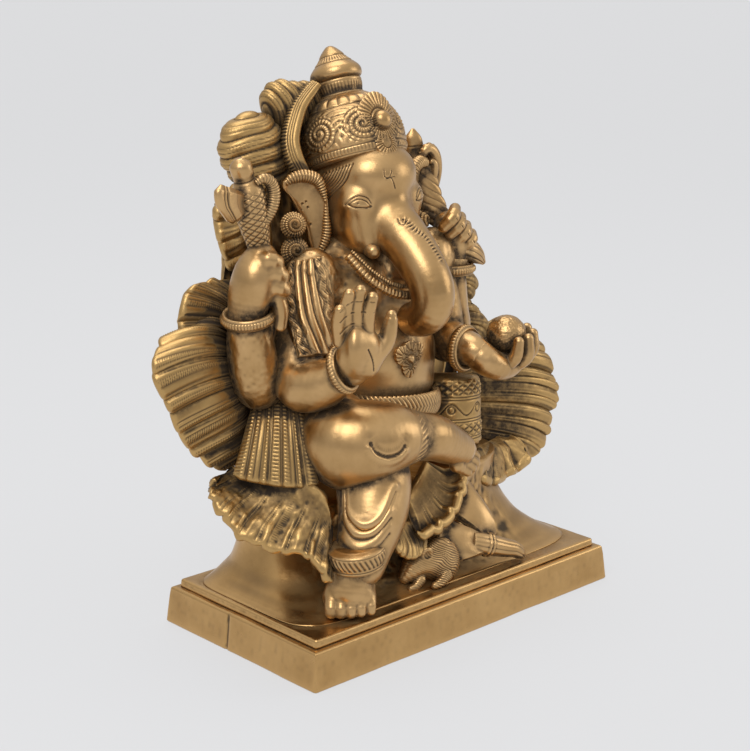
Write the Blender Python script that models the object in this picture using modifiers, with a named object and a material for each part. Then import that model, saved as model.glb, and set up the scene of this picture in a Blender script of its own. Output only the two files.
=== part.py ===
"""Seated elephant-headed deity on a shell throne: a brass casting, as separate named pieces.

Metres, +Z up. The plinth rests on z = 0 and is centred on the origin, and the figure faces -Y.
Helpers take millimetres. "Right" and "left" are the figure's own: its right side is at -X.
"""
import math

import bmesh
import bpy
from mathutils import Matrix, Vector

MM = 0.001
GAP = 0.35                                 # clearance between neighbouring castings

PLINTH = (225.0, 125.0, 20.0)              # length, depth and height of the lower block
PLINTH_DRAFT = 2.5                         # each side leans in this much towards the top
PLINTH_WALL = 6.0
PEDESTAL_WALL = 6.0
STEP = (213.0, 113.0, 4.0)                 # the plate on top of the block
STEP_TOP = PLINTH[2] + GAP + STEP[2]

HEAD = (0.0, 28.0, 226.0)
CROWN_FOOT = (0.0, 31.0, 246.5)            # centre of the crown's brim
CROWN_LEAN = math.radians(20)              # the crown tips back
HAND_UP = (-60.0, -43.0, 158.0)            # palm of the raised front right hand
BOWL_HAND = (56.0, -27.0, 134.0)           # palm of the front left hand
SWEET = (60.0, -28.0, 146.5)

SIDES = 12                                 # facets round a ball


# ---------------------------------------------------------------- scene and materials

def clear_scene():
    for item in list(bpy.data.objects):
        bpy.data.objects.remove(item)


def collection(name):
    group = bpy.data.collections.new(name)
    bpy.context.scene.collection.children.link(group)
    return group


def brass(name, colour, roughness):
    material = bpy.data.materials.new(name)
    material.use_nodes = True
    shader = material.node_tree.nodes["Principled BSDF"]
    shader.inputs["Base Color"].default_value = (*colour, 1)
    shader.inputs["Metallic"].default_value = 1.0
    shader.inputs["Roughness"].default_value = roughness
    return material


def evaluated_mesh(item):
    bpy.context.view_layer.update()
    graph = bpy.context.evaluated_depsgraph_get()
    return bpy.data.meshes.new_from_object(item.evaluated_get(graph), depsgraph=graph)


def drop(item):
    bpy.data.objects.remove(item)


def bake(item):
    """Replace a piece, its modifiers and its transform by the plain mesh that they make."""
    mesh = evaluated_mesh(item)
    mesh.transform(item.matrix_world)
    item.modifiers.clear()
    item.data = mesh
    item.matrix_world = Matrix.Identity(4)
    return item


def add_mesh(name, bm):
    bmesh.ops.recalc_face_normals(bm, faces=bm.faces)
    mesh = bpy.data.meshes.new(name)
    bm.to_mesh(mesh)
    bm.free()
    item = bpy.data.objects.new(name, mesh)
    PIECES.objects.link(item)
    return item


# ---------------------------------------------------------------- shapes, in millimetres

def smooth_path(points, steps):
    """Catmull-Rom points through the given ones, steps of them for each stretch."""
    rows = [Vector(p) for p in points]
    rows = [rows[0] * 2 - rows[1]] + rows + [rows[-1] * 2 - rows[-2]]
    path = []
    for a, b, c, d in zip(rows, rows[1:], rows[2:], rows[3:]):
        for i in range(steps):
            t = i / steps
            path.append(((2 * b) + (c - a) * t + (2 * a - 5 * b + 4 * c - d) * t ** 2
                         + (3 * b - a - 3 * c + d) * t ** 3) / 2)
    path.append(rows[-2])
    return path


def ball(name, centre, radii, turn=(0, 0, 0), rings=7):
    bm = bmesh.new()
    bmesh.ops.create_uvsphere(bm, u_segments=SIDES, v_segments=rings, radius=MM)
    bmesh.ops.scale(bm, vec=Vector(radii), verts=bm.verts)
    item = add_mesh(name, bm)
    item.location = Vector(centre) * MM
    item.rotation_euler = [math.radians(a) for a in turn]
    return bake(item)


def limb(name, points, steps=3, sides=3):
    """A round limb along (x, y, z, radius) points: a bevelled curve, made a mesh."""
    curve = bpy.data.curves.new(name, "CURVE")
    curve.dimensions = "3D"
    curve.bevel_depth = MM
    curve.bevel_resolution = sides
    curve.use_fill_caps = True
    places = smooth_path([p[:3] for p in points], steps)
    widths = smooth_path([(p[3], 0, 0) for p in points], steps)
    spline = curve.splines.new("POLY")
    spline.points.add(len(places) - 1)
    for point, place, width in zip(spline.points, places, widths):
        point.co = (*(place * MM), 1)
        point.radius = width.x
    item = bpy.data.objects.new(name, curve)
    PIECES.objects.link(item)
    mesh = evaluated_mesh(item)
    drop(item)
    bm = bmesh.new()
    bm.from_mesh(mesh)
    bmesh.ops.remove_doubles(bm, verts=bm.verts, dist=0.02 * MM)
    return add_mesh(name, bm)


def ring(name, centre, normal, radius, thickness):
    """A bangle: a turned circle whose axis is the given normal."""
    bm = bmesh.new()
    rim = [bm.verts.new(Vector((radius + thickness * math.cos(a), 0, -1.2 * thickness * math.sin(a))) * MM)
           for a in [math.tau * i / 5 for i in range(5)]]
    for i in range(5):
        bm.edges.new((rim[i], rim[(i + 1) % 5]))
    item = add_mesh(name, bm)
    turn = item.modifiers.new("turn", "SCREW")
    turn.angle = math.tau
    turn.steps = 16
    turn.render_steps = 16
    turn.use_merge_vertices = True
    turn.merge_threshold = 0.00001
    turn.use_normal_calculate = True
    item.rotation_euler = Vector(normal).to_track_quat("Z", "Y").to_euler()
    item.location = Vector(centre) * MM
    return bake(item)


def turned(name, profile, foot, lean):
    """A turned piece from (radius, height) pairs, bottom to top, tipped back about its foot."""
    bm = bmesh.new()
    rows = [(0, profile[0][1])] + list(profile) + [(0, profile[-1][1])]
    chain = [bm.verts.new(Vector((r, 0, z)) * MM) for r, z in reversed(rows)]
    for a, b in zip(chain, chain[1:]):
        bm.edges.new((a, b))
    item = add_mesh(name, bm)
    turn = item.modifiers.new("turn", "SCREW")
    turn.angle = math.tau
    turn.steps = 18
    turn.render_steps = 18
    turn.use_merge_vertices = True
    turn.merge_threshold = 0.00001
    item.rotation_euler.x = -lean
    item.location = Vector(foot) * MM
    return bake(item)


def ribbed_sheet(name, inner, outer, bow, ribs, depth, thickness, across=5):
    """A scalloped shell wall from an inner edge to an outer one, swelling by bow, with raised ribs."""
    stretches = len(outer) - 1
    along = max(2, round(3.4 * ribs / stretches))
    rim = smooth_path(outer, along)
    root = smooth_path(inner, round((len(rim) - 1) / (len(inner) - 1)))
    root = [root[round(i * (len(root) - 1) / (len(rim) - 1))] for i in range(len(rim))]
    bm = bmesh.new()
    grid = []
    for j in range(across):
        t = j / (across - 1)
        row = []
        for i, (a, b) in enumerate(zip(root, rim)):
            wave = abs(math.sin(math.pi * ribs * i / (len(rim) - 1)))
            lift = Vector(bow) * math.sin(math.pi * t / 2) * (1 - t) * 2
            lift += Vector(bow).normalized() * depth * wave * t
            row.append(bm.verts.new((a.lerp(b, t) + lift) * MM))
        grid.append(row)
    for low, high in zip(grid, grid[1:]):
        for i in range(len(rim) - 1):
            bm.faces.new((low[i], low[i + 1], high[i + 1], high[i]))
    item = add_mesh(name, bm)
    wall = item.modifiers.new("wall", "SOLIDIFY")
    wall.thickness = thickness * MM
    wall.offset = 0
    wall.use_even_offset = False
    bake(item)
    return fuse(item, cell=1.5, faces=34 * ribs + 80)


def loft(name, rows):
    """A closed skin over rings of points, bottom ring first, with flat ends."""
    bm = bmesh.new()
    rings = [[bm.verts.new(Vector(p) * MM) for p in row] for row in rows]
    count = len(rings[0])
    for low, high in zip(rings, rings[1:]):
        for i in range(count):
            k = (i + 1) % count
            bm.faces.new((low[i], low[k], high[k], high[i]))
    bm.faces.new(rings[0])
    bm.faces.new(rings[-1])
    return add_mesh(name, bm)


def plate(name, outline, thickness, centre, turn):
    """A flat outline in its own XY plane, extruded, turned and put in place."""
    curve = bpy.data.curves.new(name, "CURVE")
    curve.dimensions = "2D"
    curve.fill_mode = "BOTH"
    curve.extrude = thickness * MM / 2
    spline = curve.splines.new("POLY")
    spline.points.add(len(outline) - 1)
    for point, (x, y) in zip(spline.points, outline):
        point.co = (x * MM, y * MM, 0, 1)
    spline.use_cyclic_u = True
    item = bpy.data.objects.new(name, curve)
    PIECES.objects.link(item)
    mesh = evaluated_mesh(item)
    drop(item)
    bm = bmesh.new()
    bm.from_mesh(mesh)
    bmesh.ops.remove_doubles(bm, verts=bm.verts, dist=0.02 * MM)
    item = add_mesh(name, bm)
    item.rotation_euler = [math.radians(a) for a in turn]
    item.location = Vector(centre) * MM
    return bake(item)


# ---------------------------------------------------------------- joining and cutting

def grown(item):
    """A copy of a piece that stands out by the clearance all round, used as a cutter."""
    bm = bmesh.new()
    bm.from_mesh(item.data)
    bm.normal_update()
    moves = [(v, v.normal * GAP * MM * 1.15) for v in bm.verts]
    for vert, move in moves:
        vert.co += move
    mesh = bpy.data.meshes.new(item.name + "_cutter")
    bm.to_mesh(mesh)
    bm.free()
    cutter = bpy.data.objects.new(item.name + "_cutter", mesh)
    cutter.hide_render = True
    cutter.display_type = "WIRE"
    CUTTERS.objects.link(cutter)
    return cutter


def boolean(item, other, operation):
    change = item.modifiers.new(operation.lower(), "BOOLEAN")
    change.operation = operation
    change.solver = "EXACT"
    change.use_self = True
    change.object = other
    bake(item)
    return item


def keep_largest(item):
    """Keep the biggest body of a piece; crumbs left by a cut go."""
    bm = bmesh.new()
    bm.from_mesh(item.data)
    bmesh.ops.remove_doubles(bm, verts=bm.verts, dist=0.002 * MM)
    bmesh.ops.dissolve_degenerate(bm, edges=bm.edges, dist=0.002 * MM)
    left = set(bm.faces)
    bodies = []
    while left:
        front = [left.pop()]
        body = set(front)
        while front:
            face = front.pop()
            for edge in face.edges:
                for near in edge.link_faces:
                    if near in left:
                        left.remove(near)
                        body.add(near)
                        front.append(near)
        bodies.append(body)
    biggest = max(bodies, key=lambda body: sum(face.calc_area() for face in body))
    extra = [face for face in bm.faces if face not in biggest]
    bmesh.ops.delete(bm, geom=extra, context="FACES")
    bm.to_mesh(item.data)
    bm.free()


def fuse(first, *others, cell=1.3, faces=200):
    """Cast overlapping shapes as one closed skin of about the given number of triangles."""
    bm = bmesh.new()
    for item in (first, *others):
        bm.from_mesh(item.data)
    bm.to_mesh(first.data)
    bm.free()
    for other in others:
        drop(other)
    skin = first.modifiers.new("skin", "REMESH")
    skin.mode = "VOXEL"
    skin.voxel_size = cell * MM
    bake(first)
    thin = first.modifiers.new("fewer faces", "DECIMATE")
    thin.use_collapse_triangulate = True
    thin.ratio = faces / (2 * len(first.data.polygons))
    bake(first)
    return first


def box_of(item):
    points = [v.co for v in item.data.vertices]
    low = Vector([min(p[i] for p in points) for i in range(3)])
    high = Vector([max(p[i] for p in points) for i in range(3)])
    return low, high


def near(one, two):
    (low_a, high_a), (low_b, high_b) = box_of(one), box_of(two)
    return all(low_a[i] < high_b[i] + GAP * MM and low_b[i] < high_a[i] + GAP * MM for i in range(3))


def make_room(order):
    """Cut each piece back from every piece that comes before it, leaving the clearance."""
    for i, item in enumerate(order):
        for keeper in order[:i]:
            if not near(item, keeper):
                continue
            cutter = grown(keeper)
            boolean(item, cutter, "DIFFERENCE")
            drop(cutter)
            keep_largest(item)


# ---------------------------------------------------------------- plinth and throne

def plinth():
    bm = bmesh.new()
    bmesh.ops.create_cube(bm, size=MM)
    bmesh.ops.scale(bm, vec=Vector(PLINTH), verts=bm.verts)
    for vert in bm.verts:
        if vert.co.z > 0:
            vert.co.x -= math.copysign(PLINTH_DRAFT * MM, vert.co.x)
            vert.co.y -= math.copysign(PLINTH_DRAFT * MM, vert.co.y)
    block = add_mesh("plinth_block", bm)
    block.location.z = PLINTH[2] * MM / 2
    edge = block.modifiers.new("worn edge", "BEVEL")
    edge.width = 1.2 * MM
    edge.segments = 2
    bake(block)
    bm = bmesh.new()
    bmesh.ops.create_cube(bm, size=MM)
    hollow = [size - 2 * wall for size, wall in zip(PLINTH, (PLINTH_WALL + 3, PLINTH_WALL + 3, PLINTH_WALL))]
    bmesh.ops.scale(bm, vec=Vector(hollow), verts=bm.verts)
    cutter = add_mesh("plinth_hollow", bm)
    cutter.location.z = (PLINTH[2] - PLINTH_WALL - hollow[2] / 2) * MM
    bake(cutter)
    for vert in cutter.data.vertices:
        if vert.co.z < PLINTH[2] * MM / 2:
            vert.co.z = -5 * MM
    boolean(block, cutter, "DIFFERENCE")
    drop(cutter)
    bm = bmesh.new()
    bmesh.ops.create_cube(bm, size=MM)
    bmesh.ops.scale(bm, vec=Vector(STEP), verts=bm.verts)
    step = add_mesh("plinth_step", bm)
    step.location.z = (STEP_TOP - STEP[2] / 2) * MM
    edge = step.modifiers.new("worn edge", "BEVEL")
    edge.width = 1.0 * MM
    edge.segments = 2
    bake(step)
    return [block, step]


def pedestal_ring(half_x, half_y, centre_y, z, power):
    points = []
    for i in range(20):
        a = math.tau * (i + 0.5) / 20
        x = math.copysign(abs(math.cos(a)) ** (2 / power), math.cos(a)) * half_x
        y = math.copysign(abs(math.sin(a)) ** (2 / power), math.sin(a)) * half_y
        points.append((x, centre_y + y, z))
    return points


def pedestal():
    """The flared column: a squarish foot that narrows to an oval waist, hollow from below."""
    foot_z = STEP_TOP + GAP
    stations = [(104, 46, 8, 0, 6), (97, 43, 10, 5, 4.2), (90, 41, 14, 16, 2.8), (87, 40, 17, 34, 2.2),
                (89, 40, 18, 50, 2.2)]
    column = loft("pedestal", [pedestal_ring(hx, hy, cy, foot_z + up, power)
                               for hx, hy, cy, up, power in stations])
    inside = [(hx - PEDESTAL_WALL, hy - PEDESTAL_WALL, cy, foot_z + up - PEDESTAL_WALL, power)
              for hx, hy, cy, up, power in stations]
    hollow = loft("pedestal_hollow", [pedestal_ring(*station) for station in inside])
    boolean(column, hollow, "DIFFERENCE")
    drop(hollow)
    return column


def throne():
    """The conch: a back wall, two ribbed fans, rear whorls and the scalloped seat lips."""
    pieces = [
        ribbed_sheet("shell_back", [(-84, 44, 86), (0, 53, 74), (88, 40, 60)],
                     [(-72, 41, 206), (-10, 53, 232), (44, 50, 206), (80, 44, 170), (100, 40, 142)],
                     (0, 7, 0), 6, 3, 6),
        ribbed_sheet("fan_right", [(-78, 42, 178), (-78, 38, 140), (-84, 34, 108)],
                     [(-84, 34, 185), (-113, 30, 187), (-121, 26, 166), (-140, 20, 164), (-145.6, 16, 155),
                      (-138, 15, 142), (-131, 15, 127), (-124, 19, 111), (-112, 23, 101), (-98, 26, 97)],
                     (10, -12, 4), 9, 4, 6),
        ribbed_sheet("fan_left", [(106, 38, 132), (98, 34, 104), (84, 30, 72)],
                     [(116, 34, 140), (135, 15, 123), (146, 13, 110), (142, 12, 100), (146, 12, 88),
                      (139, 12, 74), (118, 11, 60), (98, 10, 52)],
                     (-10, -12, 4), 8, 4, 6),
        ribbed_sheet("shell_rear_lobes", [(-60, 50, 246), (-58, 52, 222), (-62, 48, 196)],
                     [(-74, 44, 246), (-85, 40, 232), (-81, 40, 218), (-75, 40, 204), (-66, 42, 190)],
                     (-4, 4, 0), 4, 4, 10, 4),
        limb("shell_hood", [(-10, 55, 279, 7), (-24, 53, 276, 9), (-38, 52, 265, 10), (-52, 50, 257, 12),
                            (-64, 48, 250, 12), (-62, 46, 238, 11)], 2, 2),
        limb("whorl_band", [(-22, 48, 279, 4.5), (-36, 44, 271, 5), (-45, 42, 258, 5), (-42, 40, 245, 4.5)],
             2, 2),
        ribbed_sheet("seat_lip_right", [(-96, 22, 98), (-84, -12, 93), (-66, -24, 92)],
                     [(-118, 12, 94), (-112, 2, 80), (-98, -12, 72), (-86, -28, 62), (-82, -40, 54)],
                     (0, -6, 9), 6, 3, 5),
        ribbed_sheet("seat_lip_left", [(84, 24, 76), (62, -2, 78), (42, -16, 82)],
                     [(106, 4, 52), (92, -12, 48), (66, -20, 52), (40, -27, 64)],
                     (0, -6, 8), 5, 3, 5),
        ribbed_sheet("seat_lip_centre", [(34, -14, 84), (12, -20, 84), (-14, -24, 80)],
                     [(24, -30, 74), (14, -35, 56), (0, -37, 44), (-20, -37, 46), (-34, -36, 54)],
                     (4, -8, 2), 6, 3, 5),
    ]
    return pieces


# ---------------------------------------------------------------- head and crown

def crown():
    def tilted(name, profile):
        return turned(name, profile, CROWN_FOOT, CROWN_LEAN)

    dome = tilted("crown_dome", [(26, 0), (27.5, 2), (27.5, 7), (26.5, 14), (24, 21), (20, 27), (14, 31.5)])
    collar = tilted("crown_collar", [(12.5, 31.9), (11.5, 35), (13.2, 38), (13.2, 40)])
    finial = tilted("finial", [(11, 40.4), (14, 43), (13, 47), (8, 51.5), (7.6, 53), (5, 57), (1.6, 60)])
    fan = [(12.5 * math.cos(a), 12.5 * math.sin(a)) for a in [math.tau * i / 16 for i in range(16)]]
    medallion = plate("crown_medallion", fan, 4, (0, 12.5, 266), (68, 0, 0))
    boss = ball("crown_boss", (0, 9.3, 267.2), (4.8, 3.5, 4.8), (-22, 0, 0))
    return [medallion, boss, finial, collar, dome]


def ear(name, side):
    """A flat leaf-shaped ear, broad at the top, turned out from the head."""
    outline = [(-3, 22), (6, 21), (14, 15), (17, 6), (14, -5), (8, -14), (1, -20), (-6, -21), (-9, -12),
               (-9, 4), (-8, 16)]
    if side < 0:
        outline = [(-x, y) for x, y in reversed(outline)]
    return plate(name, outline, 7, (side * 35, 25, 221.5), (90, 0, side * 20))


def head():
    skull = ball("head", HEAD, (26.5, 29, 29), rings=9)
    trunk = limb("trunk", [(0, 3, 215, 16), (-1, -9, 206.5, 14.5), (-1, -21, 195, 13), (0, -28, 181.5, 11.5),
                           (0, -26, 169.5, 9.2), (0, -17, 163, 7.5), (1, -9, 162, 6.2)])
    pieces = [fuse(trunk)]
    for side, name in ((-1, "tusk_right"), (1, "tusk_left")):
        pieces.append(limb(name, [(side * 15, 14, 204, 4.5), (side * 16.5, 4, 201, 4.2),
                                  (side * 17.5, -3, 199, 3.4)], 2, 3))
    pieces += [ear("ear_right", -1), ear("ear_left", 1), skull]
    pieces += [ball("curl_upper_right", (-54, 19, 216), (7, 6.5, 6.3)),
               ball("curl_lower_right", (-54, 18, 202.5), (7.5, 7, 6.8)),
               ball("curl_upper_left", (44, 12, 208), (5.5, 5.5, 5.5)),
               ball("curl_lower_left", (45, 11, 196), (6, 6, 6))]
    return pieces


# ---------------------------------------------------------------- body and dress

def body():
    belly = ball("belly", (0, 15, 139), (37, 29, 31), rings=9)
    chest = ball("chest", (0, 24, 178), (46, 21, 36), rings=9)
    return [belly, chest]


def dress():
    belt = limb("belt", [(-38, 16, 116, 5), (-24, -8, 112, 5), (0, -17, 111, 5), (24, -8, 110, 5),
                         (38, 16, 112, 5)], 2, 3)
    pendant = plate("pendant", [(0, 8), (8, 5), (9, -1), (5, -6), (0, -9), (-5, -6), (-9, -1), (-8, 5)],
                    4, (-2, -14, 142), (84, 0, 0))
    necklace = limb("necklace", [(-31, 2, 196, 2.6), (-22, -5, 184, 2.6), (-10, -9, 176, 2.6),
                                 (6, -10, 175, 2.6), (22, -5, 182, 2.6), (31, 2, 196, 2.6)], 2, 2)
    shawl = ribbed_sheet("shawl", [(-62, 10, 203), (-64, 0, 186), (-60, -10, 168)],
                         [(-38, 2, 205), (-32, -10, 190), (-26, -17, 168)], (-2, -7, 2), 4, 2.5, 5)
    drape = ribbed_sheet("pleated_sash", [(-66, 0, 127), (-78, 14, 126)],
                         [(-78, -19, 96), (-90, -8, 96), (-104, 6, 98)], (-3, -4, 2), 6, 2, 6)
    bolster = limb("bolster", [(46, 0, 86, 14), (47, 2, 90, 17), (48, 4, 112, 17), (48, 5, 116, 14)], 2)
    return [pendant, belt, necklace, shawl, drape, bolster]


# ---------------------------------------------------------------- arms and what they hold

def raised_hand():
    x, y, z = HAND_UP
    palm = ball("hand_front_right", (x, y, z), (13, 6.5, 17), (0, 0, 12))
    fingers = []
    for i, (dx, tip) in enumerate(((-11, 24), (-6, 32), (0, 36), (6, 33))):
        fingers.append(limb(f"finger_{i}", [(x + dx, y + 1, z + 6, 4), (x + dx - 2, y, z + tip - 10, 3.8),
                                            (x + dx - 3, y + 1, z + tip, 2.6)], 1, 2))
    thumb = limb("thumb", [(x + 6, y, z - 2, 4.5), (x + 13, y - 2, z + 4, 4.2), (x + 15, y - 1, z + 15, 3)], 2, 2)
    return fuse(palm, thumb, *fingers, faces=320)


def bowl_hand():
    x, y, z = BOWL_HAND
    palm = ball("hand_front_left", (x - 3, y + 3, z), (14, 17, 8), (0, 0, 20))
    fingers = []
    for i, turn in enumerate((-35, 0, 35, 68)):
        a = math.radians(turn)
        out = Vector((math.cos(a), math.sin(a) * 0.9, 0))
        base = Vector((x + 2, y + 1, z - 1)) + out * 8
        middle = base + out * 8 + Vector((0, 0, 4))
        tip = middle + out * 1 + Vector((0, 0, 9))
        fingers.append(limb(f"finger_{i}", [(*base, 4.5), (*middle, 4), (*tip, 3)], 2, 2))
    return fuse(palm, *fingers, faces=320)


def front_arms():
    right = limb("arm_front_right", [(-46, 14, 190, 13), (-66, 8, 166, 13), (-80, 0, 142, 14),
                                     (-79, -16, 142, 13), (-69, -34, 151, 8.5), (-66, -38, 153, 8)])
    left = limb("arm_front_left", [(40, 16, 190, 13), (48, 14, 164, 12), (46, 10, 141, 13),
                                   (44, -4, 137, 10.5), (47, -18, 136, 8.5)])
    bands = [ring("bracelet_front_right", (-68.5, -35, 151.5), (0.3, -0.85, 0.4), 11.2, 1.9),
             ring("bracelet_front_left", (44.5, -11, 136.5), (0.15, -0.98, 0), 12.4, 2.0)]
    return bands + [fuse(right), fuse(left)]


def back_arms():
    right = limb("arm_back_right", [(-42, 30, 186, 13), (-62, 26, 158, 13), (-82, 14, 141, 13.5),
                                    (-90, 8, 156, 12.5), (-95, 6, 177, 9.5), (-94, 5, 184, 9)])
    left = limb("arm_back_left", [(38, 30, 186, 13), (52, 28, 160, 13), (62, 16, 143, 13),
                                  (63, 13, 158, 12), (63, 15, 184, 9), (62.5, 15, 188, 9)])
    bands = [ring("bracelet_back_right", (-95, 6, 176), (-0.2, -0.1, 0.97), 12.3, 2.0),
             ring("bracelet_back_left", (63, 15, 181), (0, 0, 1), 11.8, 2.0)]
    fist_right = ball("hand_back_right", (-90, 4, 196), (14.5, 11, 15), (0, -12, 0))
    fist_left = ball("hand_back_left", (61.5, 14, 199), (12.5, 10, 12.5), (0, 20, 0))
    return bands + [fist_right, fist_left, fuse(right), fuse(left)]


def axe():
    """Tasselled battle axe: a swelling shaft with a blade on one side and a hook on the other."""
    shaft = limb("axe", [(-92, 2, 205, 6), (-93, 3, 216, 10), (-95, 4, 228, 11.5), (-97, 4, 240, 8.5),
                         (-99, 4, 246, 5), (-101, 4, 251, 5), (-102, 4, 255, 3)])
    blade = plate("blade", [(-6, -5), (-15, -10), (-21, -8), (-22, 2), (-19, 11), (-6, 6)], 5,
                  (-98, 4, 231), (90, 0, 25))
    hook = plate("hook", [(6, -6), (15, -2), (14, 12), (9, 16), (6, 8)], 5, (-97, 4, 229), (90, 0, 25))
    return fuse(shaft, blade, hook)


def noose():
    """Looped rope held upright: a twisted stem, a leafy arch and a pointed tail under the fist."""
    return limb("noose", [(58, 18, 205, 6), (54, 24, 212, 8), (51, 29, 222, 9.5), (50, 31, 236, 9),
                          (46, 32, 246, 7), (44, 32, 253, 3.5), (43.5, 32, 258, 2)], 2)


def noose_tail():
    return limb("noose_tail", [(64, 9, 189, 7), (69, 8, 187, 5.5), (76, 7, 182, 1.6)], 2, 3)


# ---------------------------------------------------------------- legs, mount and offering

def legs():
    folded = limb("leg_folded", [(-58, 2, 112, 18), (-74, -12, 110, 22), (-66, -28, 110, 24),
                                 (-46, -36, 110, 22), (-28, -39, 109, 18), (-16, -39, 108, 13)])
    foot = limb("foot_folded", [(-12, -39, 107.5, 11.5), (0, -39, 102, 11.5), (14, -37, 95, 9.5),
                                (26, -35, 88, 7), (30, -34, 85, 4.5)])
    cuff = ring("cuff_folded", (-15, -39, 108), (0.97, 0, -0.15), 14.6, 2.0)
    lowered = limb("leg_lowered", [(-40, -18, 96, 18), (-48, -29, 90, 20), (-56, -38, 76, 19),
                                   (-64, -43, 62, 15), (-68, -44, 51, 11.5)])
    hem = ring("hem_lowered", (-68, -44, 50), (-0.15, -0.05, 0.98), 14.6, 2.2)
    foot_down = limb("foot_lowered", [(-68, -42, 52, 9.5), (-69, -43, 44, 11), (-70, -46, 37, 11),
                                      (-72, -52, 31.5, 6.8)])
    return [cuff, hem, fuse(foot, faces=180), fuse(folded), fuse(foot_down, faces=180), fuse(lowered)]


def mouse():
    torso = ball("mouse", (-6, -40, 33), (15, 9, 8.6), (0, 0, -22))
    snout = ball("snout", (-21, -35.5, 31.5), (8, 5.5, 5.5), (0, 0, -22), 7)
    haunch = ball("haunch", (4, -44, 31.5), (7, 6, 6.5), rings=7)
    return fuse(torso, snout, haunch)


def leaves():
    return limb("leaf_bundle", [(54, -50, 29.5, 3), (44, -48, 31, 4), (32, -45, 34, 6), (26, -40, 42, 10),
                                (27, -33, 52, 12), (29, -28, 60, 8)], 2, 2)


# ---------------------------------------------------------------- assembly

def build():
    satin = brass("satin_brass", (0.50, 0.34, 0.14), 0.32)
    aged = brass("aged_brass", (0.40, 0.26, 0.10), 0.42)
    base = brass("plinth_brass", (0.47, 0.31, 0.13), 0.30)
    plinth_pieces = plinth()
    column = pedestal()
    shell = throne()
    held = [ball("sweet", SWEET, (11.7, 11.7, 11.7)), axe(), noose(), noose_tail()]
    hands = [raised_hand(), bowl_hand()]
    order = plinth_pieces + held[:1] + hands + back_arms()[:4] + held[1:] + crown()
    back_limbs = [item for item in PIECES.objects if item.name.startswith("arm_back")]
    order += legs() + [mouse(), leaves()] + front_arms() + back_limbs + head() + dress() + body()
    order += [column] + shell
    make_room(order)
    aged_names = {item.name for item in shell} | {"bolster", "pleated_sash", "chest"}
    base_names = {"plinth_block", "plinth_step", "pedestal"}
    for item in order:
        material = aged if item.name in aged_names else base if item.name in base_names else satin
        item.data.materials.clear()
        item.data.materials.append(material)
        item.data.shade_smooth()
        item.data.set_sharp_from_angle(angle=math.radians(40))


clear_scene()
PIECES = collection("hindu_deity_statue")
CUTTERS = collection("cutters")
build()
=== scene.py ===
"""Seated elephant-headed deity on a shell throne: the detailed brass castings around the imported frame.

Shapes are worked out in millimetres and turned into metres when a mesh is made. The figure faces -Y
and its own right side is at -X. Places are given by near(), from the middle of a CAD node's box.
Every casting is a Skin: a swept tube, a turned piece, a ribbed sheet, or lumps of Clay that melt
together. Relief and engraved lines then move its points along their normals.
"""
import math

import bpy
import numpy as np
import openvdb
from mathutils import Matrix, Vector
from mathutils.bvhtree import BVHTree


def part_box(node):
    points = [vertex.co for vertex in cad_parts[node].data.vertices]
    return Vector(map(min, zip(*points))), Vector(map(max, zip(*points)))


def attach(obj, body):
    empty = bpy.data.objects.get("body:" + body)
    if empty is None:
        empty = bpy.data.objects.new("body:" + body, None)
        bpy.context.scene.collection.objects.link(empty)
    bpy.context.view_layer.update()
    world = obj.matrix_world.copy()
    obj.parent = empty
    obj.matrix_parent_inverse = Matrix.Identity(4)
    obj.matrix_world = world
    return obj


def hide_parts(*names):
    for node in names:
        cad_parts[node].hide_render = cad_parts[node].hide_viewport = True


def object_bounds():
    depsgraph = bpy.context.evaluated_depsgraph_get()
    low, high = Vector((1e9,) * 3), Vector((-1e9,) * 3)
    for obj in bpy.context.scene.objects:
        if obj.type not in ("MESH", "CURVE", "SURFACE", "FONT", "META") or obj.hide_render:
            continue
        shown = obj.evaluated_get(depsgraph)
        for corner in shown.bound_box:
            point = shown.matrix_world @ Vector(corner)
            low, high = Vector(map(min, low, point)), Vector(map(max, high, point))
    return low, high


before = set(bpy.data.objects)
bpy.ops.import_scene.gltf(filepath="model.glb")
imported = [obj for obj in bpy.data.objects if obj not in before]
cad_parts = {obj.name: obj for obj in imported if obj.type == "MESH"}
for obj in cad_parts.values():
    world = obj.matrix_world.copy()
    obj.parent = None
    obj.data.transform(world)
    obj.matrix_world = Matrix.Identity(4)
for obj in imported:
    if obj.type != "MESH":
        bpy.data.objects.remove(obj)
CAD_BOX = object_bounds()

MM = 0.001
FINE = 0.5                                 # spacing of the points on engraved castings
CROWN_LEAN = math.radians(20)
VIEW_AZIMUTH = math.radians(-43)
VIEW_ELEVATION = math.radians(14.7)
VIEW_DISTANCE = 831.6                      # millimetres from the aim to the camera
LOOK = np.array((0.66, 0.707, -0.254))     # the way the camera looks: drawn lines fall along it
CASTS = []                                 # every finished casting, until all are made into meshes


# ---------------------------------------------------------------- places and curves

def box(node):
    low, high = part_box(node)
    return np.array(low) / MM, np.array(high) / MM


def near(node, *points):
    """Places given from the middle of a CAD node's box; a radius may follow each place."""
    low, high = box(node)
    middle = np.round((low + high) / 2, 1)
    return np.array([(*(middle + point[:3]), *point[3:]) for point in points])


def unit(v):
    return v / np.maximum(np.linalg.norm(v, axis=-1, keepdims=True), 1e-9)


def lengths(path):
    steps = np.linalg.norm(np.diff(path[:, :3], axis=0), axis=1)
    return np.concatenate([[0], np.cumsum(steps)])


def resample(path, count):
    """The same curve with its points evenly spread."""
    along = lengths(path)
    want = np.linspace(0, along[-1], count)
    return np.stack([np.interp(want, along, column) for column in path.T], 1)


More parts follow.
